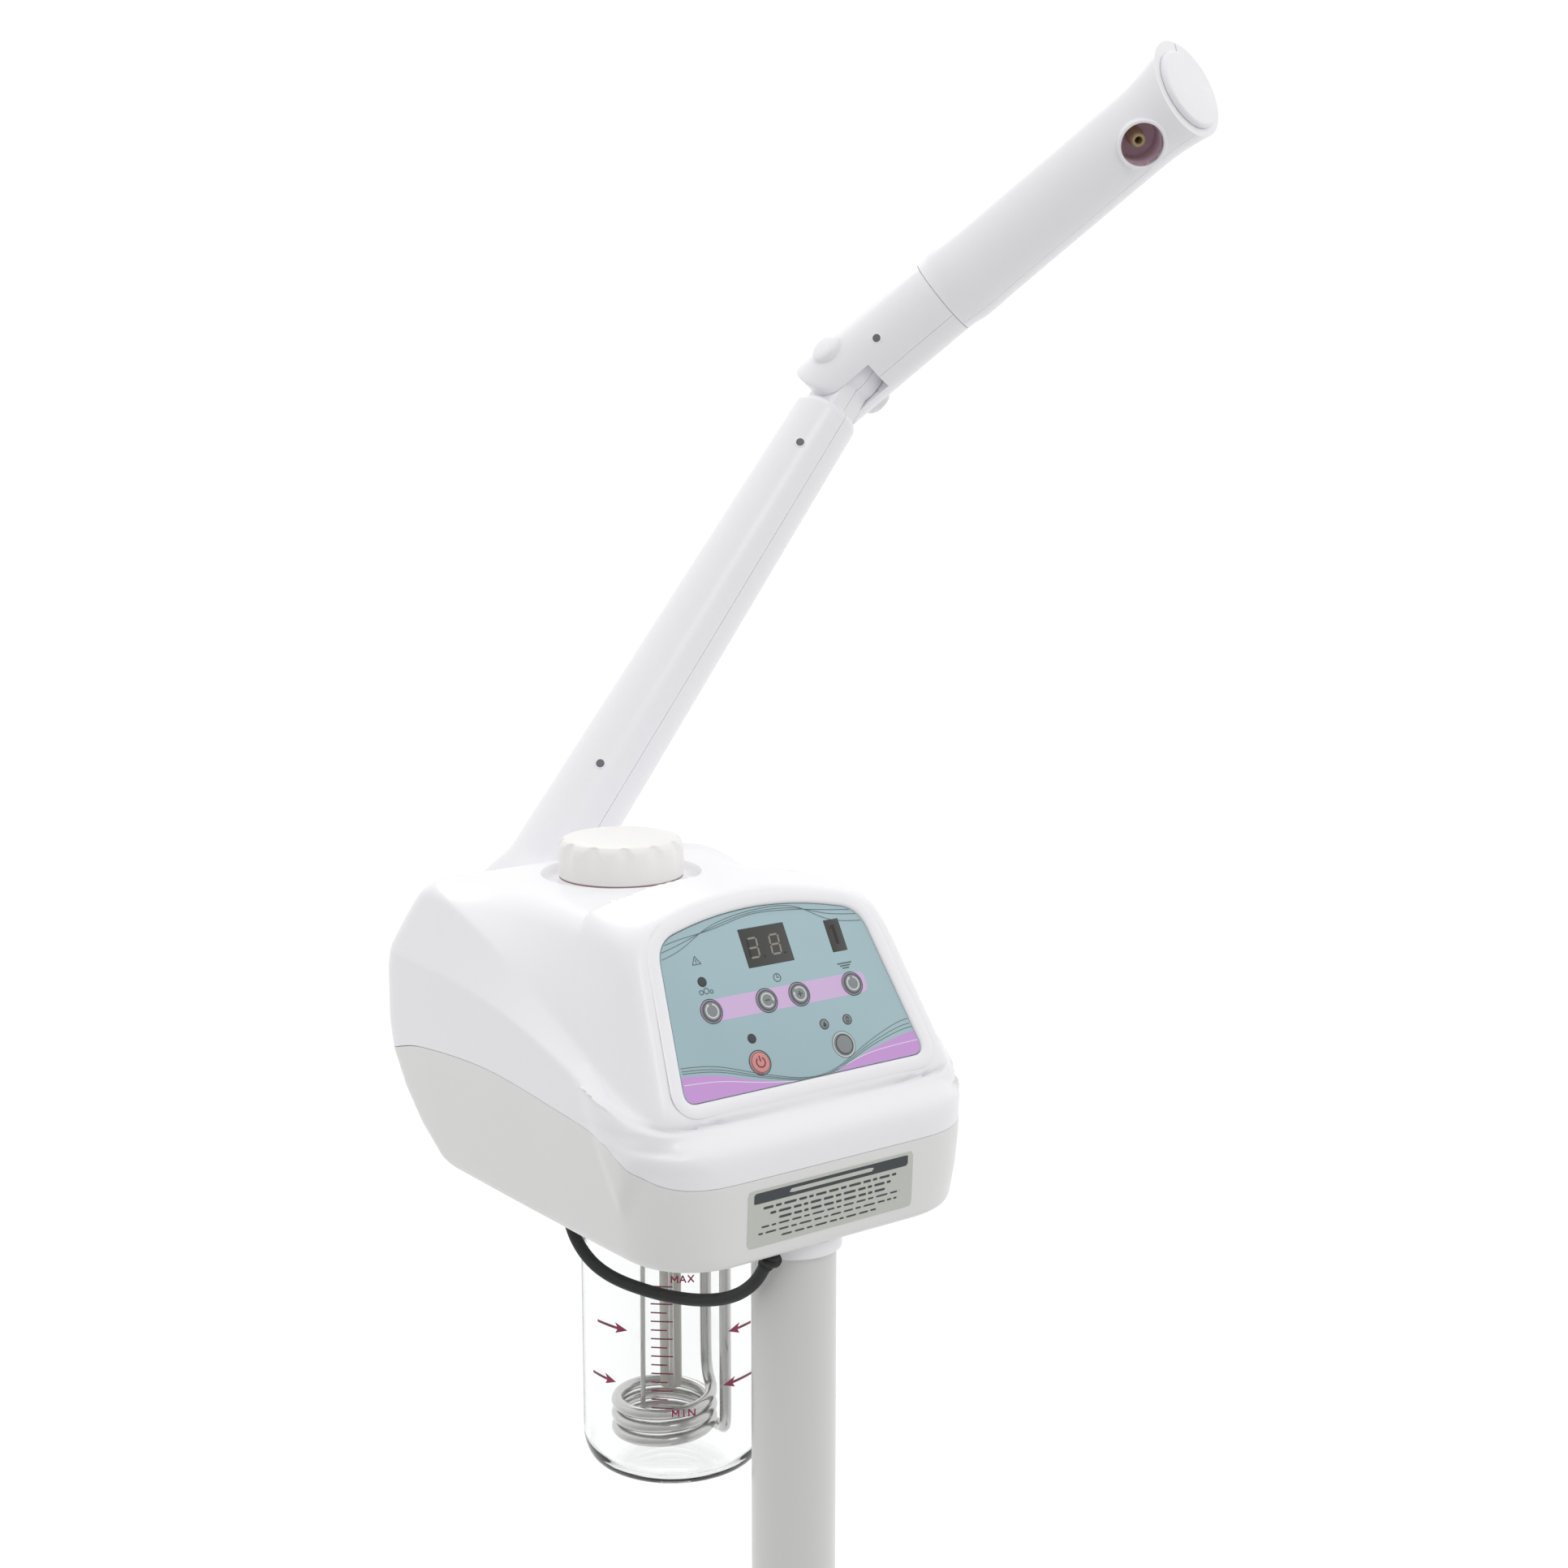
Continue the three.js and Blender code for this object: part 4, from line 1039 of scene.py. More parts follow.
# %% Keys
KEY_TOP = 2.3
KEY_FOOT = KEY_TOP - 0.1
KEY_RADIUS = 6.1
keys = {
    "ozone_button": (-50.8, 49.3, KEY_GREY), "minus_button": (-12, 49.3, KEY_GREY),
    "plus_button": (11.5, 49.3, KEY_GREY), "energy_button": (50.7, 49.3, KEY_GREY),
    "power_button": (-29.5, 15, KEY_RED), "mode_button": (31, 15, KEY_GREY),
}
open_rings = {"ozone_button": 100, "minus_button": -20, "plus_button": 150, "energy_button": 100}


def key_arc(key, part, inner, outer, start, end, rise, place, count, ink):
    """A printed ring, or a part of one, on a key."""
    band = arc_band(f"{key}_{part}", 0, 0, inner, outer, start, end, KEY_FOOT, KEY_TOP + rise, place, count)
    beside(band, key, ink)


def key_bar(key, part, start, end, width, rise, place, ink):
    """A printed stroke on a key."""
    beside(bar(f"{key}_{part}", start, end, width, KEY_FOOT, KEY_TOP + rise, place), key, ink)


for name, (u, v, colour) in keys.items():
    red, mode = name == "power_button", name == "mode_button"
    place = PANEL @ Matrix.Translation((u, v, 0))
    pad_profile = [
        (0, -5.4), (8.2, -5.4), (8.2, -3.4), (6.6, -3.2), (6.6, 1.6), (KEY_RADIUS, KEY_TOP),
        (0, KEY_TOP + 0.12),
    ]
    stands_for(turning(name + "_pad", pad_profile, place, 64, 0.35), name, colour)
    width = 0.3 if red else 0.75
    rim = arc_band(
        name + "_rim", 0, 0, KEY_RADIUS - width, KEY_RADIUS, 0, 360, KEY_TOP - 0.2, KEY_TOP + 0.06, place, 56,
    )
    beside(rim, name, KEY_RED_DARK if red else KEY_RIM)
    if name in open_rings:
        gap = open_rings[name]
        key_arc(name, "ring", 3.5, 4.45, gap + 25, gap + 335, 0.16, place, 48, KEY_PALE)
        tip = Vector((math.cos(math.radians(gap + 25)), math.sin(math.radians(gap + 25))))
        across = Vector((-tip.y, tip.x))
        arrow = [tip * 2.9, tip * 5.0, tip * 4.0 - across * 1.7]
        beside(plate(name + "_arrow", arrow, KEY_FOOT, KEY_TOP + 0.17, place), name, KEY_PALE)
    if name in ("minus_button", "plus_button"):
        key_bar(name, "dash", (-1.6, 0), (1.6, 0), 0.75, 0.18, place, KEY_RIM)
    if name == "plus_button":
        key_bar(name, "stroke", (0, -1.6), (0, 1.6), 0.75, 0.19, place, KEY_RIM)
    if red:
        key_arc(name, "arc", 2.5, 3.3, 125, 415, 0.17, place, 48, KEY_RED_DARK)
        key_bar(name, "stroke", (0, 0.4), (0, 3.9), 0.8, 0.18, place, KEY_RED_DARK)
    surround_ink = KEY_PALE if mode else DARK_INK
    ring_print(name + "_surround", 0, 0, 6.9, 7.7 if mode else 7.45, RING_TOP, place, 56, surround_ink)
    if mode:
        ring_print(name + "_outer", 0, 0, 7.7, 8.1, RING_TOP, place, 56, LINE_INK)
print("keys:", len(keys))

# %% [markdown]
# ## Signs, lights and displays
# Round lights sit above the keys. The timer window shows two pale seven-bar figures on dark
# glass, each bar a small six-sided plate, and the level window one tall, dim bar.


# %% Signs, lights and displays
def window_print(piece, ink):
    """A lit or unlit mark in a window."""
    return give(piece, "head", "display_window", ink)


LENS_TOP = LABEL_TOP + 0.3
LENS_INK = LABEL_TOP + 0.5
DIGIT_TOP = LABEL_TOP + 0.18
for number, (u, v, radius) in enumerate(((-51, 67, 2.5), (-30, 29.4, 2.4), (22, 29, 2.7), (39, 29, 2.7))):
    place = PANEL @ Matrix.Translation((u, v, 0))
    lens = turning(
        f"light_{number + 1}",
        [
            (0, 1), (radius, 1), (radius, LABEL_TOP + 0.12), (radius - 0.4, LABEL_TOP + 0.3),
            (0, LABEL_TOP + 0.4),
        ],
        place, 40, 0.15,
    )
    give(lens, "head", "display_window", DARK_INK if number < 2 else KEY_GREY)
    ring_print(f"light_ring_{number + 1}", 0, 0, radius, radius + 0.5, SIGN_TOP, place, 40, DARK_INK)
drop_place = PANEL @ Matrix.Translation((22, 28.6, 0))
drop = [Vector((0, 1.9))] + [
    Vector((1.05 * math.cos(a), -0.3 + 1.05 * math.sin(a)))
    for a in np.linspace(0.5, -math.pi - 0.5, 18)
]
film_print(plate("drop_sign", drop[::-1], LENS_TOP, LENS_INK, drop_place), DARK_INK)
swirl_place = PANEL @ Matrix.Translation((39, 29, 0))
for number, (y, start) in enumerate(((0.75, -60), (-0.75, 120))):
    swirl = arc_band(
        f"swirl_sign_{number + 1}", 0, y, 0.55, 1.05, start, start + 260, LENS_TOP, LENS_INK, swirl_place, 20,
    )
    film_print(swirl, DARK_INK)

# Three bubbles for the lamp, a clock for the timer, three bars for the heat, a triangle for care.
for number, (u, v, radius) in enumerate(((-53.6, 61.0, 1.5), (-50.0, 61.4, 1.9), (-46.6, 60.6, 1.2))):
    ring_print(f"bubble_sign_{number + 1}", u, v, radius - 0.45, radius, SIGN_TOP, PANEL, 28, LINE_INK)
ring_print("clock_sign", 0, 61.4, 2.15, 2.65, SIGN_TOP, PANEL, 36, LINE_INK)
stroke_print("clock_hand_1", (0, 61.4), (0, 63.2), 0.45)
stroke_print("clock_hand_2", (-0.2, 61.4), (1.3, 61.4), 0.45)
for number, width in enumerate((4.6, 7.4, 10.2)):
    low = 59.4 + 1.5 * number
    stroke_print(f"heat_sign_{number + 1}", (50 - width / 2, low), (50 + width / 2, low), 0.75)
corners = [
    Vector((-50.9 + 3.3 * math.cos(a), 79.2 + 3.3 * math.sin(a)))
    for a in (math.pi / 2, math.pi * 7 / 6, math.pi * 11 / 6)
]
for k in range(3):
    stroke_print(f"care_sign_{k + 1}", corners[k], corners[(k + 1) % 3], 0.45)
stroke_print("care_mark", (-50.9, 78.4), (-50.9, 80.6), 0.5)

windows = {"timer_display": [(-17, 69.6), (16, 93.4)], "level_display": [(44.5, 69.8), (55.6, 90)]}
for name, (low, high) in windows.items():
    pane = plate(name + "_pane", rounded_box(*low, *high, 0.6, 3), -7, LABEL_TOP + 0.1, PANEL, bevel=0.2)
    give(pane, "head", "display_window", WINDOW, name)


def seven_bars(name, u, v, lit, ink):
    """One figure: bars a to g, each a thin six-sided plate that leans with the figure."""
    width, height, thick, lean = 6.3, 11.6, 1.15, 0.09
    half, gap = height / 2, 0.28
    bars = {
        "a": ((0, height), (width, height)), "b": ((width, half), (width, height)),
        "c": ((width, 0), (width, half)), "d": ((0, 0), (width, 0)), "e": ((0, 0), (0, half)),
        "f": ((0, half), (0, height)), "g": ((0, half), (width, half)),
    }
    for key in lit:
        a, b = Vector(bars[key][0]), Vector(bars[key][1])
        way = (b - a).normalized()
        across = Vector((-way.y, way.x)) * thick / 2
        a, b = a + way * gap, b - way * gap
        outline = [
            a, a + way * thick / 2 - across, b - way * thick / 2 - across, b,
            b - way * thick / 2 + across, a + way * thick / 2 + across,
        ]
        outline = [Vector((u + p.x + p.y * lean, v + p.y)) for p in outline]
        window_print(plate(f"{name}_{key}", outline, LABEL_TOP, DIGIT_TOP, PANEL), ink)


seven_bars("left_figure", -13.4, 75.4, "abcdg", DIGIT)
seven_bars("left_figure_dim", -13.4, 75.4, "ef", DIGIT_DIM)
seven_bars("right_figure", 2.2, 75.4, "abcdefg", DIGIT)
for number, u in enumerate((-3.6, 11.2)):
    window_print(
        arc_band(f"point_{number + 1}", u, 75.2, 0.0, 0.65, 0, 360, LABEL_TOP, DIGIT_TOP, PANEL, 20),
        DIGIT_DIM,
    )
window_print(bar("level_bar", (50.1, 74.5), (50.1, 86.5), 2.2, LABEL_TOP, LABEL_TOP + 0.16, PANEL), DIGIT_DIM)
window_print(
    bar("level_hook", (47.6, 84.4), (50.4, 86.4), 1.1, LABEL_TOP, LABEL_TOP + 0.17, PANEL), DIGIT_DIM,
)
print("signs, lights and displays done")

# %% [markdown]
# ## Front notice
# A grey notice is stuck on the front wall. It is a thin film with a dark heading bar and rows
# of short bars where the lines of print would be. It is wrapped onto the wall by casting each
# corner of its grid onto the same form as the cover.

# %% Front notice
NOTICE = ((-59.5, 59.5), (11.0, 45.0))


def on_front(x, z, proud):
    """A point on the front wall, moved out by a little."""
    points = np.stack([x, np.full_like(x, 60.0), z], 1)
    ways = np.zeros_like(points)
    ways[:, 1] = -1
    low, high = np.zeros(len(x)), np.full(len(x), 140.0)
    for _ in range(30):
        middle = (low + high) / 2
        inside = head_form(*(points + ways * middle[:, None]).T) < 0
        low, high = np.where(inside, middle, low), np.where(inside, high, middle)
    return points + ways * (low + proud)[:, None]


def wrapped_patch(name, left, right, low, high, proud, ink, steps=24, corner=1.6):
    outline = even_outline(rounded_box(left, low, right, high, corner, 5), steps * 4)
    rim = on_front(outline[:, 0], outline[:, 1], proud)
    centre = np.array([(left + right) / 2, (low + high) / 2])
    verts = [tuple(p) for p in on_front(outline[:, 0], outline[:, 1], -0.3)]
    verts += [tuple(p) for p in rim]
    for share in (0.8, 0.55, 0.3):
        inner = centre + (outline - centre) * share
        verts += [tuple(p) for p in on_front(inner[:, 0], inner[:, 1], proud)]
    count = len(outline)
    faces = grid_faces(5, count)
    faces.append(tuple(range(4 * count, 5 * count)))
    return give(smooth_mesh(name, verts, faces, HEAD), "head", "label_film", ink)


notice = wrapped_patch("notice", *NOTICE[0], *NOTICE[1], 0.25, LABEL_GREY, corner=2.5)
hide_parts("front_label")
wrapped_patch("notice_heading", -55.5, 55.5, 36.8, 43.2, 0.32, DARK_INK, corner=0.3)
wrapped_patch("notice_title", -31, 30, 38.9, 41.2, 0.38, LABEL_GREY, steps=10, corner=0.5)
lines = [(-49, 47), (-44, 43), (-38, 40), (-50, 50), (-52, 48), (-36, 34)]
for number, (left, right) in enumerate(lines):
    top = 34.2 - 3.75 * number
    stroke = 1.45 if number < 3 else 1.05
    x = left
    word = 0
    while x < right:
        length = (7.2, 4.1, 9.3, 5.6, 3.2, 8.0)[(word + number) % 6]
        end = min(x + length, right)
        wrapped_patch(
            f"notice_word_{number + 1}_{word + 1}", x, end, top - stroke, top, 0.34, DARK_INK, steps=3,
            corner=0.3,
        )
        x = end + 1.5
        word += 1
print("front notice:", len(lines), "rows")

# %% [markdown]
# ## Filler cap
# The cap is a turning whose upper edge has twelve scallops for the fingers. The radius is held
# back near each notch, more towards the top, so the notch runs out smoothly down the side.

# %% Filler cap
FILLER = HEAD @ Matrix.Translation((0, CAP_Y, 0))
CAP_LOBES = 12


def notched(name, profile, lobes, depth, start, stop, place, sides=240):
    """A turning whose radius is held back at each lobe between two heights."""
    points = rounded(profile, 1.2, 4)
    verts = []
    for r, z in points:
        share = min(max((z - start) / (stop - start), 0), 1)
        for k in range(sides):
            angle = 2 * math.pi * k / sides
            hollow = (0.5 + 0.5 * math.cos(lobes * angle)) ** 1.8
            limit = max(p[0] for p in points) - depth * hollow * share * share
            radius = min(r, limit)
            verts.append((radius * math.cos(angle), radius * math.sin(angle), z))
    return smooth_mesh(name, verts, grid_faces(len(points), sides), place, angle=50)


cap_profile = [
    (0, 199), (32, 199), (32, 180.2), (39.2, 180.2), (39.7, 183), (39.7, 197), (39.0, 201),
    (36.4, 203.8), (30, 204.9), (15, 205.6), (0, 205.8),
]
stands_for(notched("cap", cap_profile, CAP_LOBES, 4.4, 186, 203, FILLER), "filler_cap", WARM_WHITE)
neck_profile = [
    (31, 163), (31, 174.8), (39.4, 174.8), (39.4, 179.5), (31, 179.5), (31, 195), (26, 195), (26, 168),
    (7.8, 166), (7.8, 163), (31, 163),
]
stands_for(turning("neck", neck_profile, FILLER, 96, 0.5), "filler_neck", WHITE)
# A thin ring in the gap under the cap's rim, coloured as painted shadow in the seam.
give(
    turning(
        "neck_seam_shadow", [(36, 179.4), (39.0, 179.4), (39.0, 180.3), (36, 180.3), (36, 179.4)], FILLER, 96,
        0.1,
    ),
    "head", "black_rubber", SHADOW_LINE,
)
fill_path = [
    (0, 180, 162.6), (0, 180, 148), (2, 168, 100), (5, 144, 52), (6, 138, 28), (6, 138, 12),
    (6, 138, -60), (6, 138, -148),
]
stands_for(tube("fill_hose", fill_path, 7.0, HEAD, 110, 32), "fill_tube", SILICONE)
print("filler: cap with", CAP_LOBES, "notches")

# %% [markdown]
# ## Jar and boiler
# The jar is one closed turning with a real wall, so light bends at both faces of the glass.
# Its scale and arrows are printed in maroon as thin patches wrapped on the outside. The
# heater coil, the two level probes and the fill tube hang inside.

# %% Jar and boiler
JAR = HEAD @ Matrix.Translation((0, JAR_Y, 0))
JAR_RADIUS = 58.0
FACING = 233.0                 # direction of the printed scale, in degrees
jar_profile = [
    (0, -187), (46, -187), (54, -183), (58, -173), (58, -42), (55, -31), (47, -23), (47, -2), (44, -2),
    (44, -25), (53, -34), (54.6, -44), (54.6, -172), (51, -179), (45, -182), (0, -182),
]
stands_for(turning("jar", jar_profile, JAR, 144, 5.0), "glass_jar", GLASS)


def jar_patch(name, outline):
    """A printed patch on the glass. The outline is [mm to the right of the scale's middle, height]."""
    rings = []
    for radius in (JAR_RADIUS - 0.1, JAR_RADIUS + 0.12):
        for across, z in outline:
            angle = math.radians(FACING) + across / JAR_RADIUS
            rings.append((radius * math.cos(angle), radius * math.sin(angle), z))
    count = len(outline)
    faces = grid_faces(2, count) + [tuple(reversed(range(count))), tuple(range(count, 2 * count))]
    return give(smooth_mesh(name, rings, faces, JAR), "jar", slot_of["glass_jar"], MAROON)


def jar_stroke(name, start, end, width):
    a, b = Vector(start), Vector(end)
    way = (b - a).normalized()
    across = Vector((-way.y, way.x)) * width / 2
    return jar_patch(name, [tuple(p) for p in (a - across, b - across, b + across, a + across)])


MAX_LEVEL, MIN_LEVEL, TICKS = -49.4, -135.8, 14
for k in range(TICKS + 1):
    z = MAX_LEVEL - 4 + (MIN_LEVEL + 4 - (MAX_LEVEL - 4)) * k / TICKS
    jar_stroke(f"tick_{k + 1}", (-11.5, z), (-1.5 if k % 2 else 2.0, z), 0.85)
letters = {
    "M": [((0, 0), (0, 1)), ((0, 1), (0.5, 0.35)), ((0.5, 0.35), (1, 1)), ((1, 1), (1, 0))],
    "A": [((0, 0), (0.5, 1)), ((0.5, 1), (1, 0)), ((0.2, 0.36), (0.8, 0.36))],
    "X": [((0, 0), (1, 1)), ((0, 1), (1, 0))],
    "I": [((0.5, 0), (0.5, 1))],
    "N": [((0, 0), (0, 1)), ((0, 1), (1, 0)), ((1, 0), (1, 1))],
}
for word, z in (("MAX", MAX_LEVEL - 1.6), ("MIN", MIN_LEVEL - 1.6)):
    for place_in_word, letter in enumerate(word):
        for number, (a, b) in enumerate(letters[letter]):
            left = 1.4 + 5.0 * place_in_word
            jar_stroke(
                f"{word}_{place_in_word}_{number}", (left + 3.7 * a[0], z + 4.6 * a[1]),
                (left + 3.7 * b[0], z + 4.6 * b[1]), 0.85,
            )
pointers = {"a": (-52, -27, -84), "b": (-58, -36, -119.4), "c": (58, 38, -87), "d": (64, 34, -121)}
for key, (tail, tip, z) in pointers.items():
    way = 1 if tip > tail else -1
    jar_stroke(f"pointer_{key}_shaft", (tail, z), (tip - way * 7, z), 1.7)
    head = [(tip, z), (tip - way * 9, z + 3.4), (tip - way * 7, z), (tip - way * 9, z - 3.4)]
    jar_patch(f"pointer_{key}_head", head)

COIL_CENTRE, COIL_RADIUS, COIL_FOOT, COIL_PITCH, COIL_TURN = (-6, 128), 30.0, -171.0, 8.8, 1050


def around_coil(radius, degrees, z):
    angle = math.radians(degrees)
    return (COIL_CENTRE[0] + radius * math.cos(angle), COIL_CENTRE[1] + radius * math.sin(angle), z)


coil_top = COIL_FOOT + COIL_PITCH * COIL_TURN / 360
coil_path = [around_coil(40, -50, z) for z in (1.4, -60, -130, -156)]
coil_path += [around_coil(38.5, -44, -167), around_coil(35, -28, COIL_FOOT)]
coil_path += [
    around_coil(COIL_RADIUS, a, COIL_FOOT + COIL_PITCH * a / 360)
    for a in range(0, COIL_TURN + 1, 30)
]
coil_path += [around_coil(COIL_RADIUS, 1068, coil_top + 8), around_coil(COIL_RADIUS, 1072, coil_top + 24)]
coil_path += [around_coil(COIL_RADIUS, 1072, z) for z in (-70, 1.4)]
stands_for(tube("coil", coil_path, 3.7, HEAD, 420, 22), "heater_coil", STEEL)
probes = {
    "level_probe_long": [(-23, 125, 1.4), (-26, 122, -150)],
    "level_probe_short": [(-5, 121, 1.4), (-5, 121, -140)],
}
for name, ends in probes.items():
    stands_for(tube(name + "_rod", ends, 1.6, HEAD, 24, 16), name, STEEL)
hose_path = [(-24, 140, 8.8), (-24, 140, 40), (-20, 160, 78), (-8, 205, 108), (0, 240, 122), (0, 267.6, 125)]
stands_for(tube("steam_line", hose_path, 7.0, HEAD, 70, 28), "steam_hose", SILICONE)
print("jar: scale of", TICKS + 1, "ticks; coil of", round(COIL_TURN / 360, 1), "turns")

# %% [markdown]
# ## Column, clamp and sleeve
# The column is a painted tube that slides in the sleeve. A collar at the sleeve's mouth holds
# it, and a six-lobed knob on a stud tightens the collar.

# %% Column, clamp and sleeve
SIDEWAYS = Matrix.Rotation(math.pi / 2, 4, "Y")
CLAMP_Z = 505.0
stands_for(
    turning("socket", [(25.3, -9), (28.4, -9), (28.4, 5), (25.3, 5), (25.3, -9)], HEAD, 96, 0.9),
    "column_socket", WHITE,
)
column_profile = [(23, 240), (25, 240), (25, 891.5), (23, 891.5), (23, 240)]
stands_for(turning("column", column_profile, STAND, 96, 0.3), "column_tube", COLUMN_PAINT)
sleeve_profile = [(27, 6.3), (30, 6.3), (30, 520), (27, 520), (27, 6.3)]
stands_for(turning("sleeve", sleeve_profile, STAND, 96, 0.5), "column_sleeve", COLUMN_PAINT)
collar_profile = [
    (30.2, 486), (36, 486), (37, 488), (37, 502), (35.6, 522), (34, 530), (32, 532), (25.4, 532),
    (25.4, 520.6), (30.2, 520.6), (30.2, 486),
]
stands_for(turning("collar", collar_profile, STAND, 96, 1.0), "clamp_collar", BLACK_PLASTIC)
boss_place = STAND @ Matrix.Translation((0, 0, CLAMP_Z)) @ SIDEWAYS
beside(
    turning("collar_boss", [(4.2, 34), (10.4, 34), (9, 47), (4.2, 47), (4.2, 34)], boss_place, 48, 0.8),
    "clamp_collar", BLACK_PLASTIC,
)
knob_profile = [
    (0, 48), (9, 48), (11, 49.5), (19.4, 50.5), (19.6, 53), (19.6, 61), (18.4, 64.6), (14, 66),
    (0, 65.6),
]
stands_for(notched("knob", knob_profile, 6, 4.2, 40, 48, boss_place), "clamp_knob", BLACK_PLASTIC)
beside(
    turning("knob_stud", [(0, 25.8), (4, 25.8), (4, 49), (0, 49)], boss_place, 32, 0.5), "clamp_knob",
    STEEL,
)
print("column and clamp done")

# %% [markdown]
# ## Star base
# Each leg is a loft: a rounded section that narrows, drops and is closed by a round nose. The
# hub is turned, and its dome covers the roots of the five legs.

# %% Star base
LEG_LENGTH, NOSE = 278.0, 16.0
SECTION = 40


def leg_section(s):
    """Points round the leg at a distance s from the column: half-width and height by place."""
    wide = NOSE + 0.6 * max(0, 1 - (s - 30) / 200)
    high = 40 - 23 * max(0, min(1, (s - 40) / 238))
    nose = max(0, (s - (LEG_LENGTH - NOSE)) / NOSE)
    wide *= math.sqrt(max(1 - nose * nose, 0.0004))
    high = 1 + (high - 1) * math.sqrt(max(1 - nose ** 3, 0.01))
    points = []
    for k in range(SECTION):
        angle = 2 * math.pi * k / SECTION
        c, q = math.cos(angle), math.sin(angle)
        power = 2 / (3.4 if q > 0 else 7)
        x = math.copysign(abs(c) ** power, c) * wide
        z = high / 2 + math.copysign(abs(q) ** power, q) * high / 2
        points.append((s, x, z))
    return points


leg_stations = [22, 34, 46, 70, 100, 130, 160, 190, 220, 245, 262, 266, 269.5, 272.5, 275, 276.7, 277.7, 278]
leg_verts = [point for s in leg_stations for point in leg_section(s)]
leg_faces = grid_faces(len(leg_stations), SECTION) + [
    tuple(range(SECTION)), tuple(range(len(leg_verts) - SECTION, len(leg_verts))),
]
hub_profile = [(0, 0), (45.5, 0), (46, 2), (46, 33), (43.5, 39), (37, 43), (31.5, 44), (0, 44)]
stands_for(turning("hub", hub_profile, STAND, 128, 2.5), "star_base", BASE_WHITE)
for i in range(LEG_COUNT):
    turn = Matrix.Rotation(math.radians(90 + 72 * i), 4, "Z")
    beside(smooth_mesh(f"leg_{i + 1}", leg_verts, leg_faces, STAND @ turn, angle=50), "star_base", BASE_WHITE)
print("star base:", LEG_COUNT, "legs of", LEG_LENGTH, "mm")

# %% [markdown]
# ## Casters
# A caster is a swivelling fork with a wheel set back from its stem. Its fork is a round head,
# a bridge and two cheeks cut from an outline. The wheel is turned with a tread and a hub.

# %% Casters
ACROSS = Matrix(((0, 0, 1, 0), (1, 0, 0, 0), (0, 1, 0, 0), (0, 0, 0, 1)))
cheek_outline = rounded_outline(
    [[-7, -3, 1], [-7, -12, 5], [9, -44, 8], [20, -44, 8], [27, -30, 8], [27, -3, 4]], 6,
)
bridge_outline = rounded_box(-15.6, -7, 15.6, 27, 5, 6)
fork_profile = [(0, -7.2), (15.6, -7.2), (15.6, -1.6), (14, -0.3), (5, -0.3), (5, 14), (0, 14)]
wheel_profile = [
    (0, -15.2), (3.6, -15.2), (3.6, -11.6), (8, -11.3), (10, -10), (17.5, -10), (19.5, -11.5),
    (22.5, -11), (25, -7.5), (25, 7.5), (22.5, 11), (19.5, 11.5), (17.5, 10), (10, 10), (8, 11.3),
    (3.6, 11.6), (3.6, 15.2), (0, 15.2),
]
for i in range(LEG_COUNT):
    angle = math.radians(90 + 72 * i)
    fork = f"caster_fork_{i + 1}"
    stem = Matrix.Translation((LEG_REACH * math.cos(angle), LEG_REACH * math.sin(angle), 0))
    place = STAND @ stem @ Matrix.Rotation(angle - math.pi / 2, 4, "Z")
    stands_for(turning(f"fork_head_{i + 1}", fork_profile, place, 64, 0.8), fork, BLACK_PLASTIC)
    beside(plate(f"fork_bridge_{i + 1}", bridge_outline, -7, -3.2, place, bevel=1.2), fork, BLACK_PLASTIC)
    for side, flip in (("right", 1), ("left", -1)):
        cheek_place = place @ Matrix.Diagonal((flip, 1, 1, 1)) @ ACROSS
        cheek = plate(f"fork_cheek_{side}_{i + 1}", cheek_outline, 13, 15.6, cheek_place, bevel=0.8)
        beside(cheek, fork, BLACK_PLASTIC)
    wheel_place = place @ Matrix.Translation((0, 15, -37)) @ SIDEWAYS
    stands_for(turning(f"tread_{i + 1}", wheel_profile, wheel_place, 72, 1.2), f"caster_wheel_{i + 1}", TYRE)
print("casters:", LEG_COUNT)

# %% [markdown]
# ## Lower arm
# The arm is two moulded halves that meet in a seam at the front. Each half is a skin of rings
# over half a turn, and its edges are turned in, which draws the seam. Near the foot the section
# changes from round to the flat disc that swings on the pivot.

# %% Lower arm
LOWER_TOP, LOWER_WALL = 435.5, 425.5
FOOT_RADIUS = 29.3
FOOT_DEPTH = 28.4
LOWER_SEAM = -90.0
HALF_STEPS = 56
SCREW_SIDE = math.radians(-136)


def half_turn(seam, side):
    """The angles round one half, and the way from the seam's plane into that half."""
    start = math.radians(seam if side > 0 else seam + 180)
    angles = [start + math.pi * k / HALF_STEPS for k in range(HALF_STEPS + 1)]
    return angles, Vector((math.cos(start + math.pi / 2), math.sin(start + math.pi / 2), 0))


def half_shell(name, section, stations, seam, place, side, turned_in=1.6, gap=0.16):
    """Half of a tube, from one seam to the other, with its edges turned in to draw a fine line."""
    angles, way = half_turn(seam, side)
    verts = []
    for station in stations:
        shifted = [Vector(section(angle, station)) + way * gap for angle in angles]
        first, last = shifted[0].copy(), shifted[-1].copy()
        for corner in (first, last):
            length = max(math.hypot(corner.x, corner.y), 0.01)
            corner.x *= max(1 - turned_in / length, 0)
            corner.y *= max(1 - turned_in / length, 0)
        verts += [first, *shifted, last]
    return smooth_mesh(name, verts, grid_faces(len(stations), HALF_STEPS + 3, closed=False), place, angle=46)


def lower_radius(z):
    body = 29 + (23.4 - 29) * max(z, 0) / LOWER_TOP
    if z > LOWER_WALL:
        body *= math.sqrt(max(1 - ((z - LOWER_WALL) / (LOWER_TOP - LOWER_WALL + 0.3)) ** 2.4, 0.0001))
    return body


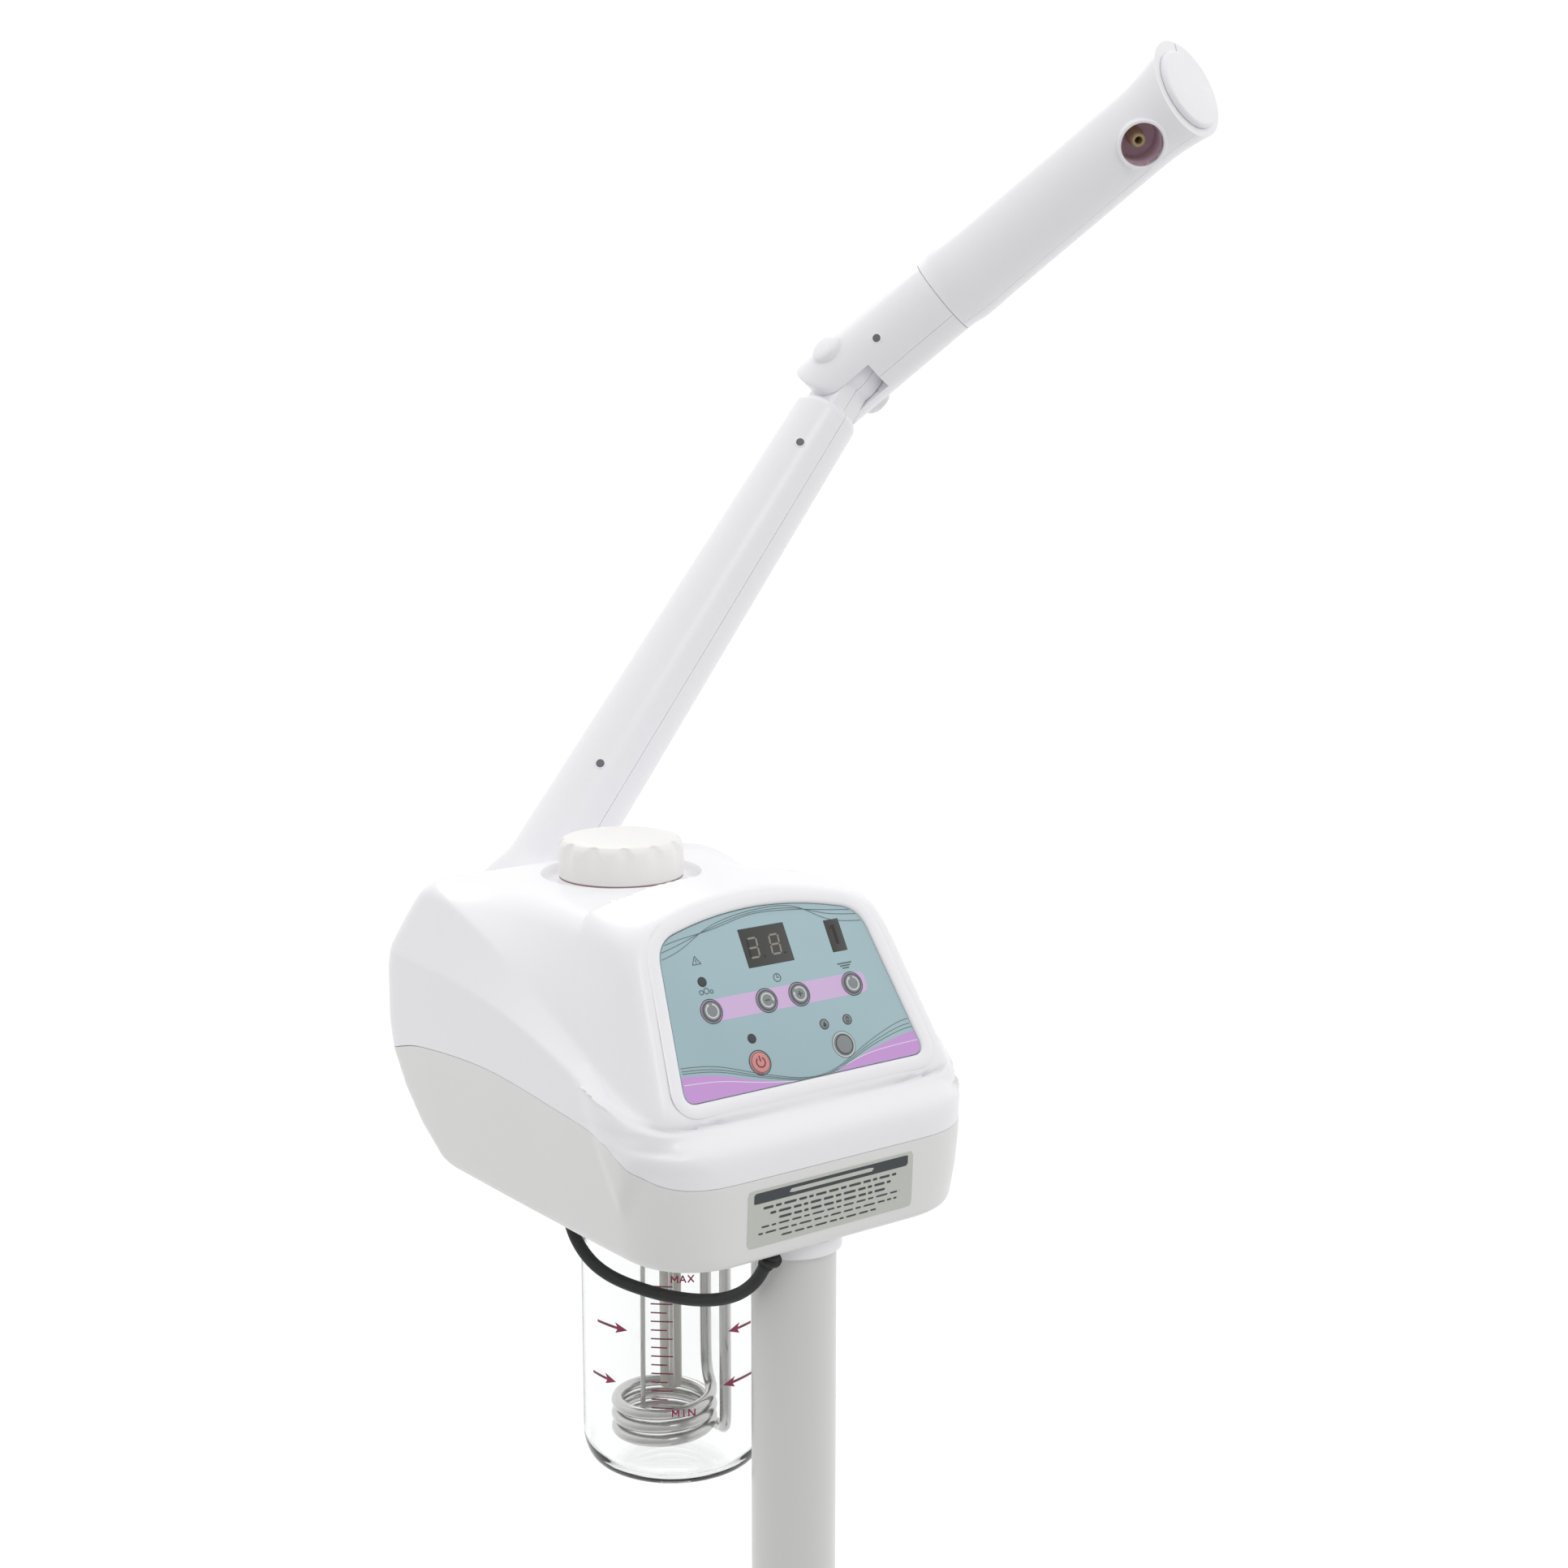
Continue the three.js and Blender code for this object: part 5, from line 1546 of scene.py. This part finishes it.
def lower_section(angle, z):
    """A point on the lower arm: a rounded box at the foot that melts into a round tube."""
    round_radius = lower_radius(z)
    blend = min(max(z / 44, 0), 1)
    blend = blend * blend * (3 - 2 * blend)
    power = 2 + 5 * (1 - blend)
    wide = FOOT_RADIUS + (round_radius - FOOT_RADIUS) * blend
    deep = FOOT_DEPTH + (round_radius - FOOT_DEPTH) * blend
    if z < 0:
        wide = math.sqrt(max(FOOT_RADIUS ** 2 - z * z, 0.01))
        deep = FOOT_DEPTH
    c, q = abs(math.cos(angle)), abs(math.sin(angle))
    radius = ((c / wide) ** power + (q / deep) ** power) ** (-1 / power)
    return (radius * math.cos(angle), radius * math.sin(angle), z)


foot_stations = [
    FOOT_RADIUS * math.sin(math.radians(a))
    for a in (-89.5, -84, -76, -68, -60, -52, -44, -36, -28, -20, -12, -5)
]
lower_stations = [
    *foot_stations, *np.linspace(0, 60, 16), *np.linspace(80, LOWER_WALL - 0.5, 18),
    *(LOWER_WALL + 10.0 * math.sin(math.radians(a)) for a in range(6, 91, 7)), LOWER_TOP,
]
for name, side in (("lower_arm_left", -1), ("lower_arm_right", 1)):
    shell = half_shell(name + "_shell", lower_section, lower_stations, LOWER_SEAM, LOWER_ARM, side)
    stands_for(shell, name, WHITE)
    tongue = [Vector((-17, 418)), Vector((17, 418))]
    tongue += [
        Vector((22.6 * math.cos(a), ARM_LENGTH + 22.6 * math.sin(a)))
        for a in np.linspace(-0.72, math.pi + 0.72, 60)
    ]
    tongue_place = LOWER_ARM @ Matrix.Diagonal((side, 1, 1, 1)) @ ACROSS
    beside(plate(name + "_tongue", tongue, 0.15, 11.7, tongue_place, bevel=1.2), name, WHITE)


def screw_hole(name, z, radius_at, place, body):
    """A dark, ringed recess for a screw, on the side that faces front left."""
    way = Vector((math.cos(SCREW_SIDE), math.sin(SCREW_SIDE), 0))
    spot = place @ pointing(way, way * (radius_at - 0.25) + Vector((0, 0, z)))
    give(
        turning(
            name + "_ring", [(2.9, -1), (4.0, -1), (4.0, 0.5), (3.6, 0.85), (2.9, 0.75), (2.9, -1)],
            spot, 32, 0.15,
        ),
        body, "head_white", WHITE,
    )
    give(
        turning(name + "_well", [(0, -1), (2.95, -1), (2.95, 0.62), (0, 0.6)], spot, 32, 0.05), body,
        "head_white", SHADED,
    )


screw_hole("screw_low", 118, lower_radius(118), LOWER_ARM, "lower_arm")
screw_hole("screw_high", 392, lower_radius(392), LOWER_ARM, "lower_arm")
TO_REAR = Matrix.Rotation(-math.pi / 2, 4, "X")
pivot_profile = [
    (8, 268), (12, 268), (12, 282.5), (26, 282.5), (26, 284.5), (12, 284.5), (12, 289.5), (18, 289.5),
    (18, 293), (12, 293), (12, 303), (8, 303), (8, 268),
]
stands_for(
    turning("pivot", pivot_profile, HEAD @ Matrix.Translation((0, 0, 125)) @ TO_REAR, 64, 0.4),
    "arm_pivot", WHITE,
)
print("lower arm:", len(lower_stations), "rings on each half")

# %% [markdown]
# ## Upper arm
# The fork at the elbow straddles the tongue. Its skin keeps the same half shells, with the
# slot cut through them, and a domed cap on each side hides the pin.

# %% Upper arm
UPPER_RADIUS = 28.6
HALF_GAP = 0.15                # each half stands this far off the seam's plane


def upper_section(angle, z):
    """A point on the upper arm: round above, and a knuckle across the pin below."""
    c, q = math.cos(angle), math.sin(angle)
    if z >= 0:
        return (UPPER_RADIUS * c, UPPER_RADIUS * q, z)
    deep = math.sqrt(max(UPPER_RADIUS ** 2 - z * z, 0.01))
    y = max(min(UPPER_RADIUS * q, deep), -deep)
    return (UPPER_RADIUS * c, y, z)


knuckle_stations = [UPPER_RADIUS * math.sin(math.radians(a)) for a in range(-90, 0, 6)]
upper_stations = [*knuckle_stations, 0, 12, 24, 40, 60, 80, 85.2, 85.85]


def solid_half(name, section, stations, seam, place, side):
    """A half shell closed by a flat seam face, so that a boolean can cut it."""
    angles, way = half_turn(seam, side)
    verts = [Vector(section(angle, z)) + way * HALF_GAP for z in stations for angle in angles]
    faces = grid_faces(len(stations), HALF_STEPS + 1)
    faces += [tuple(reversed(range(HALF_STEPS + 1))), tuple(range(len(verts) - HALF_STEPS - 1, len(verts)))]
    return smooth_mesh(name, verts, faces, place, angle=46)


for name, side in (("upper_arm_left", -1), ("upper_arm_right", 1)):
    half = solid_half(name + "_shell", upper_section, upper_stations, -90, UPPER_ARM, side)
    slot_tool = plate(
        "slot_tool",
        [Vector((-12.1, -50)), Vector((12.1, -50)), Vector((12.1, 50)), Vector((-12.1, 50))], -50, 17.6,
        UPPER_ARM,
    )
    round_tool = turning(
        "round_tool", [(0, -12.1), (23.2, -12.1), (23.2, 12.1), (0, 12.1)], UPPER_ARM @ SIDEWAYS, 96,
        0.01,
    )
    stands_for(cut_with(half, [slot_tool, round_tool]), name, WHITE)
    cap_place = UPPER_ARM @ Matrix.Diagonal((side, 1, 1, 1)) @ SIDEWAYS
    button_profile = [(0, 24.3), (11.7, 24.3), (11.7, 30.6), (10.8, 32), (8, 33.2), (0, 33.9)]
    give(
        turning(name + "_cap", button_profile, cap_place, 64, 0.8), "upper_arm",
        slot_of["elbow_cap_left"], WHITE, "elbow_cap_left" if side < 0 else "elbow_cap_right",
    )
stands_for(
    turning("pin", [(0, -23.9), (4, -23.9), (4, 23.9), (0, 23.9)], UPPER_ARM @ SIDEWAYS, 32, 0.6),
    "elbow_pin", STEEL,
)
screw_hole("screw_elbow", 34, UPPER_RADIUS, UPPER_ARM, "upper_arm")
print("upper arm done")

# %% [markdown]
# ## Nozzle
# The nozzle swells just above the swivel and flares towards its slanted end. Each column of
# its grid runs to its own height, so that the last ring lies in the slanted plane. A raised
# disc closes the end, and the steam comes out of the ringed hole in its side.

# %% Nozzle
nozzle_profile = [
    (0.1, 28.2), (0.5, 28.6), (6, 28.9), (12, 29.9), (18, 30.5), (26, 30.5), (40, 30.1), (90, 30),
    (150, 30), (178, 30.1), (190, 30.8), (202, 32.6), (214, 34.9), (226, 36.9), (236, 37.9), (260, 38.2),
]
FIXED_UP_TO = 150.0


def nozzle_radius(z):
    return float(np.interp(z, [p[0] for p in nozzle_profile], [p[1] for p in nozzle_profile]))


def nozzle_end(angle):
    """Height where the slanted plane cuts the wall at this angle."""
    z = NOZZLE_END
    for _ in range(20):
        z = NOZZLE_END + nozzle_radius(z) * math.sin(angle) * math.tan(END_SLANT)
    return z


def nozzle_section(angle, station):
    if station <= FIXED_UP_TO:
        radius, z = nozzle_radius(station), station
    else:
        share = min((station - FIXED_UP_TO) / (NOZZLE_END - FIXED_UP_TO), 1)
        z = FIXED_UP_TO + (nozzle_end(angle) - FIXED_UP_TO) * share
        radius = nozzle_radius(z)
        over = station - NOZZLE_END
        if over > 0:
            radius -= over
            z = NOZZLE_END + radius * math.sin(angle) * math.tan(END_SLANT) + 0.25 * min(over, 1)
    return (radius * math.cos(angle), radius * math.sin(angle), z)


nozzle_stations = [0.1, 0.5, 3, 6, 9, 12, 15, 18, 22, 26, 32, 40, 60, 90, 120, 150]
nozzle_stations += list(np.linspace(154, NOZZLE_END - 0.7, 18)) + [
    NOZZLE_END, NOZZLE_END + 0.5, NOZZLE_END + 1.2, NOZZLE_END + 3.5, NOZZLE_END + 8.2,
]
seam_at = math.degrees(SEAM_TURN) - 90
TO_FRONT = Matrix.Rotation(math.pi / 2, 4, "X")
outlet_place = NOZZLE @ Matrix.Translation((0, 0, OUTLET_AT)) @ TO_FRONT
for name, side in (("nozzle_left", -1), ("nozzle_right", 1)):
    if side > 0:
        shell = half_shell(name + "_shell", nozzle_section, nozzle_stations, seam_at, NOZZLE, side)
    else:
        shell = solid_half(name + "_shell", nozzle_section, nozzle_stations, seam_at, NOZZLE, side)
        shell = cut_with(
            shell,
            [turning("outlet_tool", [(0, -4), (17.0, -4), (17.0, 60), (0, 60)], outlet_place, 96, 0.01)],
        )
    stands_for(shell, name, WHITE)
bore_profile = [(14.7, 31), (14.9, 31), (14.9, -3), (0, -3), (0, -2.6), (14.2, -2.2), (14.7, -1), (14.7, 31)]
# The bore's lining is painted shade, mauve, for the hollow of the outlet.
beside(turning("outlet_bore", bore_profile, outlet_place, 96, 0.1), "nozzle_left", BORE_SHADE)
ring_profile = [(14.7, 24), (17.2, 24), (17.2, 32), (16.6, 32.8), (15.3, 32.8), (14.7, 32), (14.7, 24)]
stands_for(turning("outlet_collar", ring_profile, outlet_place, 96, 0.3), "outlet_ring", WHITE)
tip_profile = [(2.6, -14), (2.6, 18), (4.4, 18), (5.2, 16.5), (5.2, 9), (6, 4), (6, -14), (2.6, -14)]
stands_for(turning("tip", tip_profile, outlet_place, 48, 0.4), "steam_tip", BEIGE)
END_PLACE = NOZZLE @ Matrix.Translation((0, 0, NOZZLE_END)) @ Matrix.Rotation(END_SLANT, 4, "X")
disc_profile = [
    (0, -9), (17, -9), (20, -9), (20, 0.5), (29, 0.5), (29, 2.6), (28.6, 3.8), (27.4, 4.7), (14, 5.2),
    (0, 5.3),
]
disc = turning("aroma_disc", disc_profile, END_PLACE, 96, 0.6)
finger = turning(
    "finger_tool", [(0, 2.6), (15.5, 2.6), (17.5, 3.4), (18.6, 5), (19, 12), (0, 12)],
    END_PLACE @ Matrix.Translation((0, 31, 0)), 64, 0.6,
)
stands_for(cut_with(disc, [finger]), "aroma_cap", WHITE)
print("nozzle: slanted end at", NOZZLE_END, "mm")

# %% [markdown]
# ## Parts inside
# The boards, the lamp, the seals and the inlet stay as they were imported, because little of
# them shows. Each one still gets its own finish.

# %% Parts inside
inner_finishes = {
    "control_board": BOARD_GREEN, "power_board": BOARD_GREEN, "boiler_lid": STEEL,
    "jar_gasket": SILICONE, "ozone_lamp": LAMP_GLASS, "sleeve_bush": BLACK_PLASTIC,
    "mains_inlet": BLACK_PLASTIC, "arm_hose": SILICONE,
}
for name, look in inner_finishes.items():
    node = frame["nodes"][name]
    node.data.materials.clear()
    node.data.materials.append(look)
left_over = [
    name
    for name, node in frame["nodes"].items()
    if not node.hide_render and name not in inner_finishes
]
print("inside parts:", len(inner_finishes), "and still plain:", left_over)

# %% [markdown]
# ## Floor and bounds
# The floor lies under the wheels. The last line measures the bounds of the finished scene.

# %% Floor and bounds
FLOOR_Z, FLOOR_HALF = -0.0621, 0.72
floor_outline = rounded_box(-FLOOR_HALF, -FLOOR_HALF, FLOOR_HALF, FLOOR_HALF, 0.5, 6)
floor = plate("floor", floor_outline, FLOOR_Z - 0.02, FLOOR_Z, Matrix.Identity(4))
floor.data.materials.append(finish("studio_floor", (0.90, 0.90, 0.90), (0.6, 0.7), 40.0, bump=0.01))
floor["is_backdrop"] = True

low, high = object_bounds()
